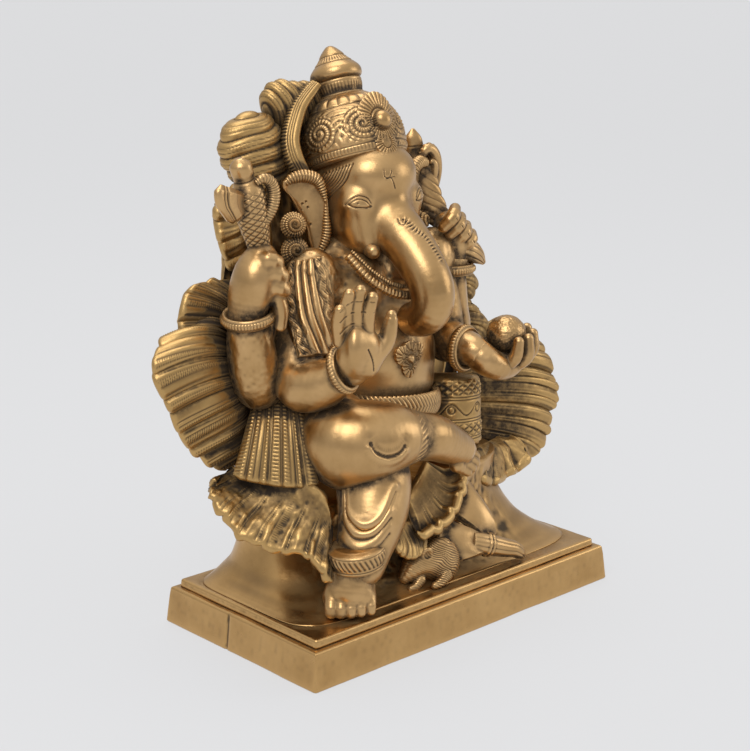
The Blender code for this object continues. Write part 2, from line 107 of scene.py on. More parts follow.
def smooth(points, spacing=0.5):
    """Catmull-Rom curve through the points; columns after x, y, z, such as a radius, follow along."""
    p = np.asarray(points, float)
    p = np.vstack([2 * p[0] - p[1], p, 2 * p[-1] - p[-2]])
    t = np.linspace(0, 1, 24, endpoint=False)[:, None]
    parts = [(2 * b + (c - a) * t + (2 * a - 5 * b + 4 * c - d) * t ** 2 + (3 * b - a - 3 * c + d)
            * t ** 3) / 2 for a, b, c, d in zip(p, p[1:], p[2:], p[3:])]
    path = np.vstack(parts + [p[-2:-1]])
    return resample(path, max(3, round(lengths(path)[-1] / spacing) + 1))


LATTICE = np.random.default_rng(7).random((32, 32, 32)) * 2 - 1


def noise(points, size):
    """Smooth value noise between -1 and 1 with lumps of the given size."""
    q = points / size
    whole = np.floor(q).astype(int)
    f = q - whole
    f = f * f * (3 - 2 * f)
    total = 0
    for corner in np.ndindex(2, 2, 2):
        weight = np.prod(np.where(corner, f, 1 - f), axis=-1)
        i, j, k = np.moveaxis((whole + corner) % 32, -1, 0)
        total = total + weight * LATTICE[i, j, k]
    return total


def facing(direction):
    return Vector(direction).to_track_quat("-Z", "Y").to_euler()


def turn_matrix(degrees):
    """Rotation by x, then y, then z degrees."""
    out = np.eye(3)
    for axis, angle in zip("XYZ", degrees):
        out = np.array(Matrix.Rotation(math.radians(angle), 3, axis)) @ out
    return out


# ---------------------------------------------------------------- surfaces

class Skin:
    """A closed mesh in millimetres with its faces wound outwards."""

    def __init__(self, points, quads, tris=()):
        self.points = np.asarray(points, float)
        self.quads = np.asarray(quads, int).reshape(-1, 4)
        self.tris = np.asarray(tris, int).reshape(-1, 3)
        if self.volume() < 0:
            self.quads = self.quads[:, ::-1]
            self.tris = self.tris[:, ::-1]

    def triangles(self):
        return np.vstack([self.quads[:, [0, 1, 2]], self.quads[:, [0, 2, 3]], self.tris])

    def volume(self):
        a, b, c = (self.points[column] for column in self.triangles().T)
        return np.einsum("ij,ij->i", a, np.cross(b, c)).sum() / 6

    def spread(self, triangles, values):
        count = len(self.points)
        flat = triangles.T.ravel()
        return np.stack([np.bincount(flat, np.tile(column, 3), count) for column in values.T], 1)

    def normals(self):
        triangles = self.triangles()
        a, b, c = (self.points[column] for column in triangles.T)
        return unit(self.spread(triangles, np.cross(b - a, c - a)))

    def areas(self):
        triangles = self.triangles()
        a, b, c = (self.points[column] for column in triangles.T)
        return self.spread(triangles, np.linalg.norm(np.cross(b - a, c - a), axis=1)[:, None] / 6)[:, 0]

    def edges(self):
        q, t = self.quads, self.tris
        pairs = np.vstack([q[:, [0, 1]], q[:, [1, 2]], q[:, [2, 3]], q[:, [3, 0]],
                           t[:, [0, 1]], t[:, [1, 2]], t[:, [2, 0]]])
        return np.vstack([pairs, pairs[:, ::-1]])

    def relaxed(self, rounds):
        """Where the points go when each one moves towards the mean of its neighbours."""
        start, end = self.edges().T
        count = np.maximum(np.bincount(start, minlength=len(self.points)), 1)[:, None]
        p = self.points.copy()
        for _ in range(rounds):
            mean = np.stack([np.bincount(start, column[end], len(p)) for column in p.T], 1) / count
            p = (p + mean) / 2
        return p

    def relax(self, rounds):
        self.points = self.relaxed(rounds)
        return self

    def push(self, height):
        """Move each point along its normal; height is an array or a function of the points."""
        if callable(height):
            height = height(self.points)
        self.points += self.normals() * np.asarray(height)[:, None]
        return self

    def line(self, path, width, height, ticks=0):
        """Raise (or engrave, where height is negative) a line along a path close to the surface."""
        path = smooth(path, max(0.15, width * 0.5)) if len(path) > 1 else path
        reach = 3 * width
        inside = np.all((self.points > path[:, :3].min(0) - reach) & (self.points < path[:, :3].max(0)
                + reach), 1)
        rows = np.flatnonzero(inside)
        if not len(rows):
            return self
        along = lengths(path)
        gap = np.full(len(rows), 1e9)
        where = np.zeros(len(rows))
        for i in range(0, len(path), 64):
            d = np.linalg.norm(self.points[rows][:, None] - path[None, i:i + 64, :3], axis=2)
            best = d.argmin(1)
            value = d[np.arange(len(rows)), best]
            closer = value < gap
            gap[closer] = value[closer]
            where[closer] = along[i + best[closer]]
        amount = height * np.exp(-(gap / width) ** 2)
        if ticks:
            amount *= 0.5 + 0.5 * np.cos(math.tau * where / ticks)
        normals = self.normals()
        self.points[rows] += normals[rows] * amount[:, None]
        return self

    def tree(self):
        return BVHTree.FromPolygons(self.points.tolist(), self.quads.tolist() + self.tris.tolist())

    def engrave(self, strokes, towards=LOOK):
        """Draw lines whose points fall onto the skin, each with its width, height and tick length."""
        tree = self.tree()
        for points, width, height, ticks in strokes:
            landed = []
            for point in points:
                start = Vector(point[:3]) - Vector(towards) * 30
                hit = tree.ray_cast(start, Vector(towards))[0]
                landed.append(hit if hit is not None else point[:3])
            self.line(np.array(landed, float), width, height, ticks)
        return self

    def joined(self, other):
        shift = len(self.points)
        return Skin(np.vstack([self.points, other.points]), np.vstack([self.quads, other.quads + shift]),
                    np.vstack([self.tris, other.tris + shift]))


def join(skins):
    total = skins[0]
    for skin in skins[1:]:
        total = total.joined(skin)
    return total


def grid_skin(grid):
    """Closed skin over rings of points: each ring is closed, and the first and last are capped."""
    rings, count = grid.shape[:2]
    index = np.arange(rings * count).reshape(rings, count)
    after = np.roll(index, -1, axis=1)
    quads = np.stack([index[:-1], after[:-1], after[1:], index[1:]], -1).reshape(-1, 4)
    middle = [grid[0].mean(0), grid[-1].mean(0)]
    first = np.full(count, rings * count)
    tris = np.vstack([np.stack([after[0], index[0], first], -1),
                      np.stack([index[-1], after[-1], first + 1], -1)])
    return Skin(np.vstack([grid.reshape(-1, 3), middle]), quads, tris)


def frames(path, start):
    """Two directions across a path at each point, carried along it without twist."""
    tangent = unit(np.gradient(path[:, :3], axis=0))
    side = np.array(start, float)
    sides = []
    for t in tangent:
        side = side - t * (side @ t)
        side /= np.linalg.norm(side)
        sides.append(side)
    sides = np.array(sides)
    return sides, np.cross(tangent, sides)


def tube(points, spacing=FINE, relief=None, start=(0, 0, 1), squash=1.0):
    """A round bar along (x, y, z, radius) points. Relief takes the length along it and the angle round it."""
    path = smooth(points, spacing)
    a, b = frames(path, start)
    count = max(10, round(math.tau * path[:, 3].max() / spacing))
    angle = math.tau * np.arange(count) / count
    radius = path[:, 3][:, None] + np.zeros(count)
    if relief:
        radius = radius + relief(lengths(path)[:, None], angle[None])
    ring = np.cos(angle)[None, :, None] * a[:, None] + squash * np.sin(angle)[None, :, None] * b[:, None]
    return grid_skin(path[:, None, :3] + ring * radius[..., None])


def turned(profile, spacing=FINE, relief=None, lean=0.0, foot=(0, 0, 0)):
    """A turned piece from (radius, height) pairs. Relief takes the length along the profile and the angle."""
    rows = np.array([(r, 0, z) for r, z in profile], float)
    path = smooth(rows, spacing)
    tangent = unit(np.gradient(path, axis=0))
    out = np.stack([tangent[:, 2], 0 * tangent[:, 0], -tangent[:, 0]], 1)
    count = max(12, round(math.tau * path[:, 0].max() / spacing))
    angle = math.tau * np.arange(count) / count
    height = np.zeros((len(path), count))
    if relief:
        height = height + relief(lengths(path)[:, None], angle[None])
    r = path[:, 0][:, None] + out[:, 0][:, None] * height
    z = path[:, 2][:, None] + out[:, 2][:, None] * height
    spot = np.stack([r * np.sin(angle), -r * np.cos(angle), z], -1)
    return grid_skin(spot @ np.array(Matrix.Rotation(-lean, 3, "X")).T + np.array(foot))


def wall(base, normal, half, front):
    """Closed skin around a grid of points: a front, a rounded far edge and a back."""
    tip = unit(base[:, -1] - base[:, -2])
    bend = np.linspace(0, math.pi, 9)[1:-1][None, :, None]
    h = half[:, -1][:, None, None]
    edge = base[:, -1][:, None] + h * (np.cos(bend) * normal[:, -1][:, None] + np.sin(bend) * tip[:, None])
    top = base + normal * (half + front)[..., None]
    under = base - normal * (half + front)[..., None]
    return grid_skin(np.concatenate([top, edge, under[:, ::-1]], axis=1))


def grid_normals(base, towards):
    normal = unit(np.cross(np.gradient(base, axis=0), np.gradient(base, axis=1)))
    return -normal if normal.reshape(-1, 3).mean(0) @ np.array(towards, float) < 0 else normal


def sheet(inner, outer, bows, thickness, spacing=0.6, ribs=0, depth=0.0, relief=None, sharp=0.7, scallop=0.0,
          start=0.0, curl=(0, 0, 0)):
    """A shell wall from an inner edge to an outer one, bowed out and curled at its rim.

    Ribs rise from the place start. Relief takes the place along and across, a rib's width and the depth.
    """
    outer = smooth(outer, spacing)
    n = len(outer)
    inner = resample(smooth(inner, spacing), n)
    span = np.linalg.norm(outer - inner, axis=1)
    m = max(8, round(span.max() / spacing))
    a = np.linspace(0, 1, n)[:, None]
    t = np.linspace(0, 1, m)[None]
    bows = np.atleast_2d(np.array(bows, float))
    knots = np.linspace(0, 1, len(bows))
    bow = np.stack([np.interp(a[:, 0], knots, column) for column in bows.T], 1)[:, None]
    phase = ribs * a + 0.16 * np.sin(4.3 * ribs * a)
    wave = np.abs(np.sin(math.pi * phase)) ** sharp if ribs else np.zeros_like(a)
    reach = t[..., None] * (1 + (scallop * (wave - 0.6) / span[:, None])[..., None])
    base = inner[:, None] * (1 - reach) + outer[:, None] * reach
    base = base + bow * (np.sin(math.pi * t / 2) * (1 - t) * 2)[..., None] + np.array(curl) * (t ** 5)[...,
            None]
    normal = grid_normals(base, bows.mean(0))
    rise = np.clip((t - start) / (1 - start), 0, 1) ** 0.7
    base = base + normal * (depth * (wave - 0.4) * rise)[..., None]
    width = lengths(outer)[-1] * t / max(ribs, 1)
    front = relief(phase / max(ribs, 1), t, width, t * span[:, None]) if relief else 0
    ends = np.minimum(1, 0.25 + np.minimum(a, 1 - a) * lengths(outer)[-1] / thickness)
    return wall(base, normal, thickness / 2 * ends + 0 * t, front)


# ---------------------------------------------------------------- clay: lumps that melt together

def soft_min(a, b, k):
    h = np.clip(0.5 + 0.5 * (b - a) / k, 0, 1)
    return b + (a - b) * h - k * h * (1 - h)


class Clay:
    """Signed distances on a grid of cells, to model a lump that is meshed once it is whole."""

    def __init__(self, corners, cell=0.6):
        self.low, high = corners
        self.cell = cell
        shape = np.ceil((high - self.low) / cell).astype(int) + 1
        self.field = np.full(shape, 6.0, np.float32)

    def window(self, low, high):
        a = np.clip(np.floor((np.array(low) - self.low) / self.cell).astype(int), 0, self.field.shape)
        b = np.clip(np.ceil((np.array(high) - self.low) / self.cell).astype(int) + 1, 0, self.field.shape)
        axes = [self.low[i] + self.cell * np.arange(a[i], b[i]) for i in range(3)]
        spots = np.stack(np.meshgrid(*axes, indexing="ij"), -1).astype(np.float32)
        return tuple(slice(i, j) for i, j in zip(a, b)), spots

    def merge(self, part, distance, soft, cut=False):
        old = self.field[part]
        new = -soft_min(-old, distance, soft) if cut else soft_min(old, distance, soft)
        self.field[part] = new

    def ball(self, centre, radii, turn=(0, 0, 0), soft=2.0, cut=False):
        centre = np.asarray(centre, float).reshape(3)
        radii = np.array(radii, float)
        reach = radii.max() + soft + 3
        part, spots = self.window(centre - reach, centre + reach)
        q = (spots - centre.astype(np.float32)) @ turn_matrix(turn).astype(np.float32)
        k0 = np.linalg.norm(q / radii, axis=-1)
        k1 = np.linalg.norm(q / radii ** 2, axis=-1)
        self.merge(part, k0 * (k0 - 1) / np.maximum(k1, 1e-6), soft, cut)
        return self

    def limb(self, points, soft=2.0):
        path = smooth(points, 2.5)
        reach = path[:, 3].max() + soft + 3
        part, spots = self.window(path[:, :3].min(0) - reach, path[:, :3].max(0) + reach)
        total = np.full(spots.shape[:3], 6.0, np.float32)
        origin = spots[0, 0, 0] if spots.size else 0
        for p, q in zip(path, path[1:]):
            wide = max(p[3], q[3]) + soft + 3
            a = np.clip(np.floor((np.minimum(p, q)[:3] - wide - origin) / self.cell).astype(int), 0, None)
            b = np.clip(np.ceil((np.maximum(p, q)[:3] + wide - origin) / self.cell).astype(int), 0, None)
            cut_out = tuple(slice(i, j) for i, j in zip(a, b))
            local = spots[cut_out]
            if not local.size:
                continue
            step = (q - p)[:3].astype(np.float32)
            v = local - p[:3].astype(np.float32)
            h = np.clip(v @ step / max(float(step @ step), 1e-6), 0, 1)
            d = np.linalg.norm(v - h[..., None] * step, axis=-1) - (p[3] + (q[3] - p[3]) * h)
            total[cut_out] = np.minimum(total[cut_out], d)
        self.merge(part, total, soft)
        return self

    def skin(self, relax=2):
        grid = openvdb.FloatGrid(6.0)
        grid.copyFromArray(np.ascontiguousarray(self.field, np.float32), tolerance=0)
        grid.transform = openvdb.createLinearTransform(voxelSize=self.cell)
        points, quads = grid.convertToQuads(isovalue=0.0)
        return Skin(points + self.low, quads).relax(relax)


# ---------------------------------------------------------------- finished castings

def cast(name, skin, *nodes, slot="satin_brass", shelter=1.0, painted_shade=None):
    """Keep a finished casting. Shelter scales the painted shade (partly patina) of crowded places; painted_shade
    adds extra painted shade by place.
    """
    CASTS.append({"name": name, "skin": skin, "nodes": nodes, "slot": slot, "shelter": shelter, "painted_shade": painted_shade})


# ---------------------------------------------------------------- plinth and pedestal

def rounded_slab(node, draft, edge, corner, hollow=0.0):
    """A rectangular slab with round corners and edges, sides that lean in, and an open underside."""
    spacing = 0.9
    low, high = box(node)
    half = (high - low)[:2] / 2
    middle = (high + low)[:2] / 2
    tall = high[2] - low[2]
    inner = half[1] - 1
    bend = np.linspace(0, math.pi / 2, 5)
    side = [(draft * t, t * (tall - edge)) for t in np.linspace(0.04, 1, round(tall / spacing) + 2)]
    over = [(draft + edge * (1 - math.cos(b)), tall - edge + edge * math.sin(b)) for b in bend[1:]]
    top = [(e, tall) for e in np.linspace(draft + edge, inner, round(inner / 1.6))[1:]]
    rows = [(0.6, 0.0)] + side + over + top
    if hollow:
        rows = [(inner, hollow), (9.5, hollow), (9, hollow - 1), (9, 0.6), (8.4, 0)] + rows
    around = []
    for i, (sx, sy) in enumerate(((1, -1), (1, 1), (-1, 1), (-1, -1))):
        turn = np.linspace(i - 1, i, 7) * math.pi / 2
        around += [(sx, sy, math.cos(b), math.sin(b)) for b in turn]
    around = np.array(around + around[:1])
    outline = np.stack([around[:, 0] * (half[0] - corner) + corner * around[:, 2],
                        around[:, 1] * (half[1] - corner) + corner * around[:, 3]], 1)
    along = lengths(np.pad(outline, ((0, 0), (0, 1))))
    want = np.linspace(0, along[-1], round(along[-1] / spacing), endpoint=False)
    around = np.stack([np.interp(want, along, column) for column in around.T], 1)
    rings = []
    for inset, z in rows:
        r = max(corner - inset, 0.2)
        core = half - inset - r
        xy = around[:, :2] * core + around[:, 2:] * r + middle
        rings.append(np.column_stack([xy, np.full(len(xy), low[2] + z)]))
    return grid_skin(np.array(rings))


def plinth():
    block = rounded_slab("plinth_block", 2.5, 1.6, 2.2, hollow=14.0)
    block.push(lambda p: 0.22 * noise(p, 21.0) + 0.05 * noise(p, 3.0))
    block.line(near("plinth_block", (-112.6, 9, -9.6), (-112, 8.6, -1), (-110.5, 9.2, 9.5)), 0.9, -1.3)
    block.line(near("plinth_block", (-112.6, 10.2, -9.6), (-112, 9.9, -2)), 0.5, -0.4)
    cast("plinth_cast", block, "plinth_block", slot="plinth_brass", shelter=0.4)
    step = rounded_slab("plinth_step", 0.4, 1.3, 2.0)
    step.push(lambda p: 0.18 * noise(p, 26.0) + 0.05 * noise(p, 4.0))
    cast("step_cast", step, "plinth_step", slot="plinth_brass", shelter=0.4)


def pedestal():
    bottom = box("pedestal")[0][2]
    stations = np.array([(105, 52, 2, 0, 7), (101, 48, 6, 2.2, 6), (96, 44, 10, 6.5, 4.6),
            (91.5, 41, 13, 14, 3.2), (87.5, 40, 17, 30, 2.3), (89, 40, 18, 49.5, 2.2)], float)
    rows = smooth(stations[:, [0, 1, 3, 2, 4]], 0.9)
    angle = np.linspace(0, math.tau, 6001) + 0.4
    rings = []
    for half_x, half_y, up, centre_y, power in rows:
        x = np.sign(np.cos(angle)) * np.abs(np.cos(angle)) ** (2 / power) * half_x
        y = np.sign(np.sin(angle)) * np.abs(np.sin(angle)) ** (2 / power) * half_y + centre_y
        ring = np.stack([x, y, np.full_like(x, bottom - 0.6 + up)], 1)
        rings.append(resample(ring, 521)[:-1])
    skin = grid_skin(np.array(rings)).relax(2)

    def rough(p):
        front = np.clip(-p[:, 1] / 20, 0, 1) * np.clip((75 - np.abs(p[:, 0] + 5)) / 25, 0, 1)
        front = front * np.clip((p[:, 2] - bottom - 3) / 6, 0, 1)
        return 0.25 * noise(p, 18.0) + front * (1.5 * noise(p, 9.0) + 0.6 * noise(p, 3.5))
    skin.push(rough)
    cast("pedestal_cast", skin, "pedestal", slot="plinth_brass", shelter=0.35)


# ---------------------------------------------------------------- the conch throne

def engraved_ribs(ribs, lines=(0.24, 0.4, 0.6, 0.76), tick=1.3, weight=0.5):
    """Two fine lines along each rib with short ticks between them."""
    def relief(a, t, width, depth):
        f = (ribs * a) % 1
        cut = sum(np.exp(-((f - at) * width / 0.42) ** 2) for at in lines)
        strip = np.clip(1 - np.abs(f - 0.5) / 0.10, 0, 1) ** 0.5
        ticks = np.cos(math.tau * depth / tick) * (len(lines) > 1)
        fade = np.clip((t - 0.12) * 4, 0, 1)
        return fade * weight * (-0.9 * cut + 0.5 * strip * ticks)
    return relief


def throne():
    back = sheet(near("shell_back", (-92.6, -5.7, -59.9), (-8.6, 4.3, -71.9), (79.4, -7.7, -85.9)),
            near("shell_back", (-87.6, -7.7, 40.1), (-86.6, -7.7, 66.1), (-74.6, -3.7, 94.1),
            (-52.6, 0.3, 116.1), (-22.6, 2.3, 122.1), (3.4, 2.3, 100.1), (17.4, 2.3, 68.1),
            (41.4, -0.7, 40.1), (75.4, -4.7, 20.1), (92.4, -7.7, -3.9)), (0, 6, 0), 5.0, 0.9, ribs=17,
            depth=2.6, scallop=2.0)
    back.push(lambda p: 0.5 * noise(p, 6.0))
    cast("back_shell_cast", back, "shell_back", slot="aged_brass")
    fan = sheet(near("fan_right", (34.8, 15.3, 29.3), (33.8, 14.3, 17.3), (32.8, 14.3, 7.3)),
            near("fan_right", (27.8, 12.3, 40.3), (16.8, 9.3, 43.8), (5.8, 6.3, 45.8), (-4.7, 4.3, 44.3),
            (-9.7, 2.8, 37.3), (-12.2, 1.3, 29.3), (-12.7, 0.3, 21.3)),
            ((0, -4, 3), (2, -8, 6), (2, -9, 8)), 5.0, 0.5, ribs=5, depth=3.6, scallop=2.0,
            relief=engraved_ribs(5), start=0.1, sharp=0.5)
    lower = sheet(near("fan_right", (32.8, 15.3, 5.3), (32.8, 14.3, -1.7), (34.8, 13.3, -11.7),
            (36.8, 11.8, -22.7), (37.8, 9.3, -32.7)), near("fan_right", (-9.2, 0.3, 23.8),
            (-27.2, -5.2, 24.3), (-34.2, -8.2, 19.3), (-36.4, -9.7, 12.3), (-34.2, -10.7, 5.3),
            (-29.8, -10.7, -2.7), (-26.2, -9.7, -10.7), (-21.2, -8.2, -18.7), (-14.2, -5.7, -27.7),
            (-6.7, -3.7, -35.2), (3.8, -1.2, -41.7), (14.8, 1.3, -45.2)),
            ((0, -9, 19), (-1, -17, 16), (-3, -19, 9), (1, -17, 1), (6, -12, -3)), 5.0, 0.5, ribs=10,
            depth=4.4, sharp=0.5, scallop=2.6, relief=engraved_ribs(10), start=0.12, curl=(2, 2, -3))
    # Painted shade by place, deepening towards +x and the back, over the fan's inner part.
    cast("right_fan_cast", fan.joined(lower), "fan_right", slot="aged_brass",
         painted_shade=lambda p: np.clip((p[:, 0] + 108) / 24, 0, 0.9) * np.clip((p[:, 1] + 60) / 60, 0, 1))
    groups = ((((-51.1, 23.7, 80.9), (-41.1, 22.7, 62.9)), ((-29.1, 15.7, 79.9), (-19.1, 12.7, 74.9),
            (-15.1, 11.7, 67.9), (-20.1, 12.7, 58.9)), 4, ((0, -5, 4), (0, -6, 2))),
            (((-41.1, 22.7, 62.9), (-29.1, 20.7, 34.9)), ((-19.1, 12.7, 56.9), (-16.1, 12.7, 50.9),
            (-7.1, 11.7, 44.9), (-5.1, 11.7, 37.9), (-12.1, 12.7, 31.9)), 4, ((0, -5, 4), (0, -6, 2))),
            (((-21.1, 20.7, 30.9), (-22.1, 18.7, 12.9)),
            ((8.9, 16.7, 38.9), (20.9, 12.7, 34.4), (29.4, 0.7, 25.9), (33.4, -5.3, 14.9),
            (35.4, -7.3, 7.4)), 4, ((2, -6, 5), (0, -10, 6))), (((-22.1, 18.7, 12.9), (-24.1, 16.7, -7.1)),
            ((32.9, -7.3, 6.9), (37.4, -8.3, -0.1), (37.9, -8.3, -9.1), (32.9, -8.3, -15.1)), 4,
            ((0, -10, 6), (0, -12, 4))), (((-24.1, 16.7, -7.1), (-27.1, 13.7, -31.1)),
            ((31.9, -8.3, -15.1), (32.4, -8.3, -24.1), (27.9, -8.3, -33.1), (18.9, -8.3, -39.1),
            (7.9, -7.3, -40.6)), 5, ((0, -12, 4), (0, -10, 1))))
    fans = [sheet(near("fan_left", *inner), near("fan_left", *outer), bows, 4.6, ribs=ribs, depth=3.2,
            scallop=2.0, sharp=0.5, relief=engraved_ribs(ribs, (0.5,), 1.2, 0.4), start=0.12,
            curl=(-2, 2, -3)) for inner, outer, ribs, bows in groups]
    # Painted shade by place, deepening towards -x, up to 0.6.
    cast("left_fan_cast", join(fans), "fan_left", slot="aged_brass",
         painted_shade=lambda p: np.clip((136 - p[:, 0]) / 34, 0, 0.6))
    lobes = sheet(near("shell_rear_lobes", (11.6, -0.9, 18.5), (11.6, -0.9, 2.5), (9.6, -0.9, -23.5)),
            near("shell_rear_lobes", (-2.4, -5.9, 12.5), (-12.9, -7.9, 6.5), (-11.9, -7.9, -5.5),
            (-7.4, -6.9, -15.5), (-0.4, -4.9, -26.5)), (-4, -6, 0), 7, ribs=5, depth=4, scallop=3,
            relief=engraved_ribs(5))
    cast("rear_lobes_cast", lobes, "shell_rear_lobes", slot="aged_brass")
    hood()
    seat_lips()


def hood():
    """A coiled whorl with wide level ridges, and a smaller one above it that leans on the crown."""
    def ridges(p, centre, lean, pitch):
        q = (p - centre) @ turn_matrix(lean)
        f = (q[:, 2] / pitch + 0.12 * np.sin(q[:, 0] / 6)) % 1
        wave = np.abs(np.sin(math.pi * f)) ** 0.55
        lines = np.exp(-((f - 0.36) / 0.05) ** 2) + np.exp(-((f - 0.64) / 0.05) ** 2)
        ticks = np.cos(np.arctan2(q[:, 1], q[:, 0]) * 60) * np.clip(1 - np.abs(f - 0.5) / 0.12, 0, 1)
        return 2.1 * (wave - 0.5) - 0.3 * lines + 0.12 * ticks
    clay = Clay(near("shell_hood", (-48.3, -24.8, -38.6), (21.7, 21.2, 31.4)), 0.6)
    big = near("shell_hood", (-15.3, 0.2, -6.6))[0]
    clay.ball(big, (19, 12, 18), (0, -12, 0))
    clay.ball(near("shell_hood", (-8.3, 0.2, -20.6)), (17, 11, 14), soft=6)
    skin = clay.skin(2)
    skin.push(lambda p: ridges(p, big, (0, -16, 0), 8.2))
    clay = Clay(near("shell_hood", (-20.3, -20.8, -14.6), (41.7, 25.2, 35.4)), 0.6)
    small = near("shell_hood", (11.7, 3.2, 11.4))[0]
    clay.ball(small, (17, 10, 13), (0, 38, 0))
    clay.ball(near("shell_hood", (23.7, 3.2, 13.4)), (13, 9, 11), soft=5)
    top = clay.skin(2)
    top.push(lambda p: ridges(p, small, (0, 62, 0), 6.5))
    cast("hood_cast", skin.joined(top), "shell_hood", slot="aged_brass")
    path = near("whorl_band", (17.6, 1.2, 21.3, 3.4), (12.6, 0.2, 18.3, 4.2), (3.6, -1.8, 11.3, 4.6),
            (-2.4, -3.8, 2.8, 4.8), (-6.4, -5.8, -6.2, 5.0), (-6.9, -8.8, -14.2, 5.0),
            (-4.9, -11.8, -21.2, 4.4), (-2.4, -13.8, -27.2, 3.4))

    def rim(s, angle):
        """The side away from the crown is hatched; fine grooves run along the middle."""
        across = np.cos(angle)
        hatch = 0.5 * np.cos(math.tau * s / 1.7) * np.clip((-across - 0.25) * 3, 0, 1)
        return hatch - 0.6 * sum(np.exp(-((across - at) / 0.07) ** 2) for at in (-0.22, 0.08, 0.38))
    cast("whorl_band_cast", tube(path, 0.4, rim, (0.73, -0.68, 0), 0.55), "whorl_band", slot="aged_brass")



def seat_lips():
    right = sheet(near("seat_lip_right", (-2.5, 29.9, 15), (5.5, 11.9, 12), (13.5, -4.1, 11),
            (19.5, -16.1, 7), (22.5, -20.1, -10)), near("seat_lip_right", (-12.5, 26.9, 17),
            (-22.5, 20.9, 12.5), (-22, 14.9, 6), (-18.5, 9.9, -1), (-16.5, 2.9, -7), (-10.5, -4.1, -10),
            (-2.5, -11.1, -14), (5, -18.1, -15), (8.5, -25.1, -20), (9.5, -29.1, -25), (12.5, -31.1, -30)),
            (1, 3, -7), 5, 0.55, ribs=11, depth=1.2, scallop=1.2, relief=engraved_ribs(11, (0.3, 0.6), 1.2,
            0.3), start=0.45, curl=(-1, -1, -5))
    right.push(lambda p: 1.0 * noise(p, 6.0) + 0.3 * noise(p, 2.4))
    # Painted shade by place, deepening towards +x and the front, up to 0.25.
    cast("right_seat_lip_cast", right, "seat_lip_right", slot="aged_brass",
         painted_shade=lambda p: np.clip((p[:, 0] + 108 - (p[:, 1] - 10) * 0.5) / 26, 0, 0.25))
    left = sheet(near("seat_lip_left", (38.5, 25.3, -0.3), (24.5, 17.3, 1.7), (8.5, 11.3, 3.7),
            (-11.5, 1.3, 7.7)), near("seat_lip_left", (40.5, 11.3, -4.3), (37.5, 7.3, -10.3),
            (28.5, 6.3, -13.8), (19.5, 5.3, -14.8), (5.5, 1.3, -15.3), (-9.5, -2.7, -12.3),
            (-20.5, -5.7, -6.3)), (0, -4, 5), 7, 0.5, ribs=4, depth=2.6, scallop=1.6,
            relief=engraved_ribs(4, (0.3, 0.6), 1.2, 0.15), start=0.1, curl=(0, -3, 3))
    left.push(lambda p: 0.8 * noise(p, 7.0) + 0.25 * noise(p, 2.6))
    cast("left_seat_lip_cast", left, "seat_lip_left", slot="aged_brass")
    centre = sheet(near("seat_lip_centre", (9.8, 14.3, 17.2), (-2.2, 8.3, 11.2), (-18.2, 2.3, 3.2)),
            near("seat_lip_centre", (24.8, 5.3, 11.2), (22.8, 1.3, 5.2), (18.8, -1.7, 1.2),
            (11.8, -4.7, -4.3), (0.8, -8.2, -9.8), (-12.2, -10.7, -12.8), (-24.2, -11.7, -11.8)),
            (2, -3, -6), 6, ribs=6, depth=1.8, scallop=0.5, relief=engraved_ribs(6, (0.3, 0.6), 1.2, 0.2),
            start=0.3, curl=(0, -3, 3))
    lower = sheet(near("seat_lip_centre", (-12.2, -1.7, -6.8), (-38.2, -5.7, -4.8)),
            near("seat_lip_centre", (-15.2, -11.7, -11.8), (-19.7, -14.2, -17.3), (-27.2, -15.2, -19.3),
            (-35.2, -15.7, -16.8), (-41.2, -14.7, -10.8)), (1, -4, -2), 4, ribs=7, depth=1.2, scallop=1.6,
            relief=engraved_ribs(7, (0.5,), 1.2, 0.4))
    # Painted shade by place, deepening towards the back, up to 0.3.
    cast("centre_seat_lip_cast", centre.joined(lower), "seat_lip_centre", slot="aged_brass",
         painted_shade=lambda p: np.clip((p[:, 1] + 36) / 12, 0, 0.3))


# ---------------------------------------------------------------- head

def head():
    clay = Clay(near("head", (-36, -74, -74.4), (36, 36, 37.6)), 0.42)
    clay.ball(near("head", (0, 2, 4.6)), (27.5, 29, 27))
    clay.ball(near("head", (0, -13, 13.6)), (23, 20.5, 18), soft=5)
    for side in (-1, 1):
        clay.ball(near("head", (side * 13, -12, -10.4)), (13.5, 15.5, 15), soft=10)
        clay.ball(near("head", (side * 18.5, -18, 1.1)), (8.5, 7.5, 6), soft=8)
        clay.ball(near("head", (side * 14, -19.5, -20.4)), (6.5, 7, 5.5), soft=7)
    clay.ball(near("head", (0, -22, 1.6)), (10, 10, 9), soft=6)
    clay.limb(near("trunk", (0, 23.8, 25.4, 14), (-0.5, 11.8, 18.9, 13.6), (-0.5, -2.2, 7.4, 12.6),
            (0.3, -13.2, -7.1, 11.8), (0.6, -14.2, -18.6, 11.2), (0.6, -8.2, -25.6, 10.4),
            (0.8, -0.2, -28.1, 9.2)), soft=5)
    skin = clay.skin(8)
    skin.push(lambda p: 0.12 * noise(p, 7.0))
    face(skin)
    cast("head_cast", skin, "head", "trunk", shelter=0.3)
    for side, name in ((-1, "right"), (1, "left")):
        points = near("tusk_" + name, (side * -3.7, 7.3, 3, 4.6), (side * -1.2, -1.2, -0.5, 4.4),
                (side * -0.2, -6.2, -2.5, 3.9), (side * 0.1, -8.2, -3.2, 2.6),
                (side * 0.3, -8.9, -3.5, 0.6))
        cast(name + "_tusk_cast", tube(points, 0.4), "tusk_" + name)
    for side, name in ((-1, "right"), (1, "left")):
        ear(side, name)
        curls(side, name)


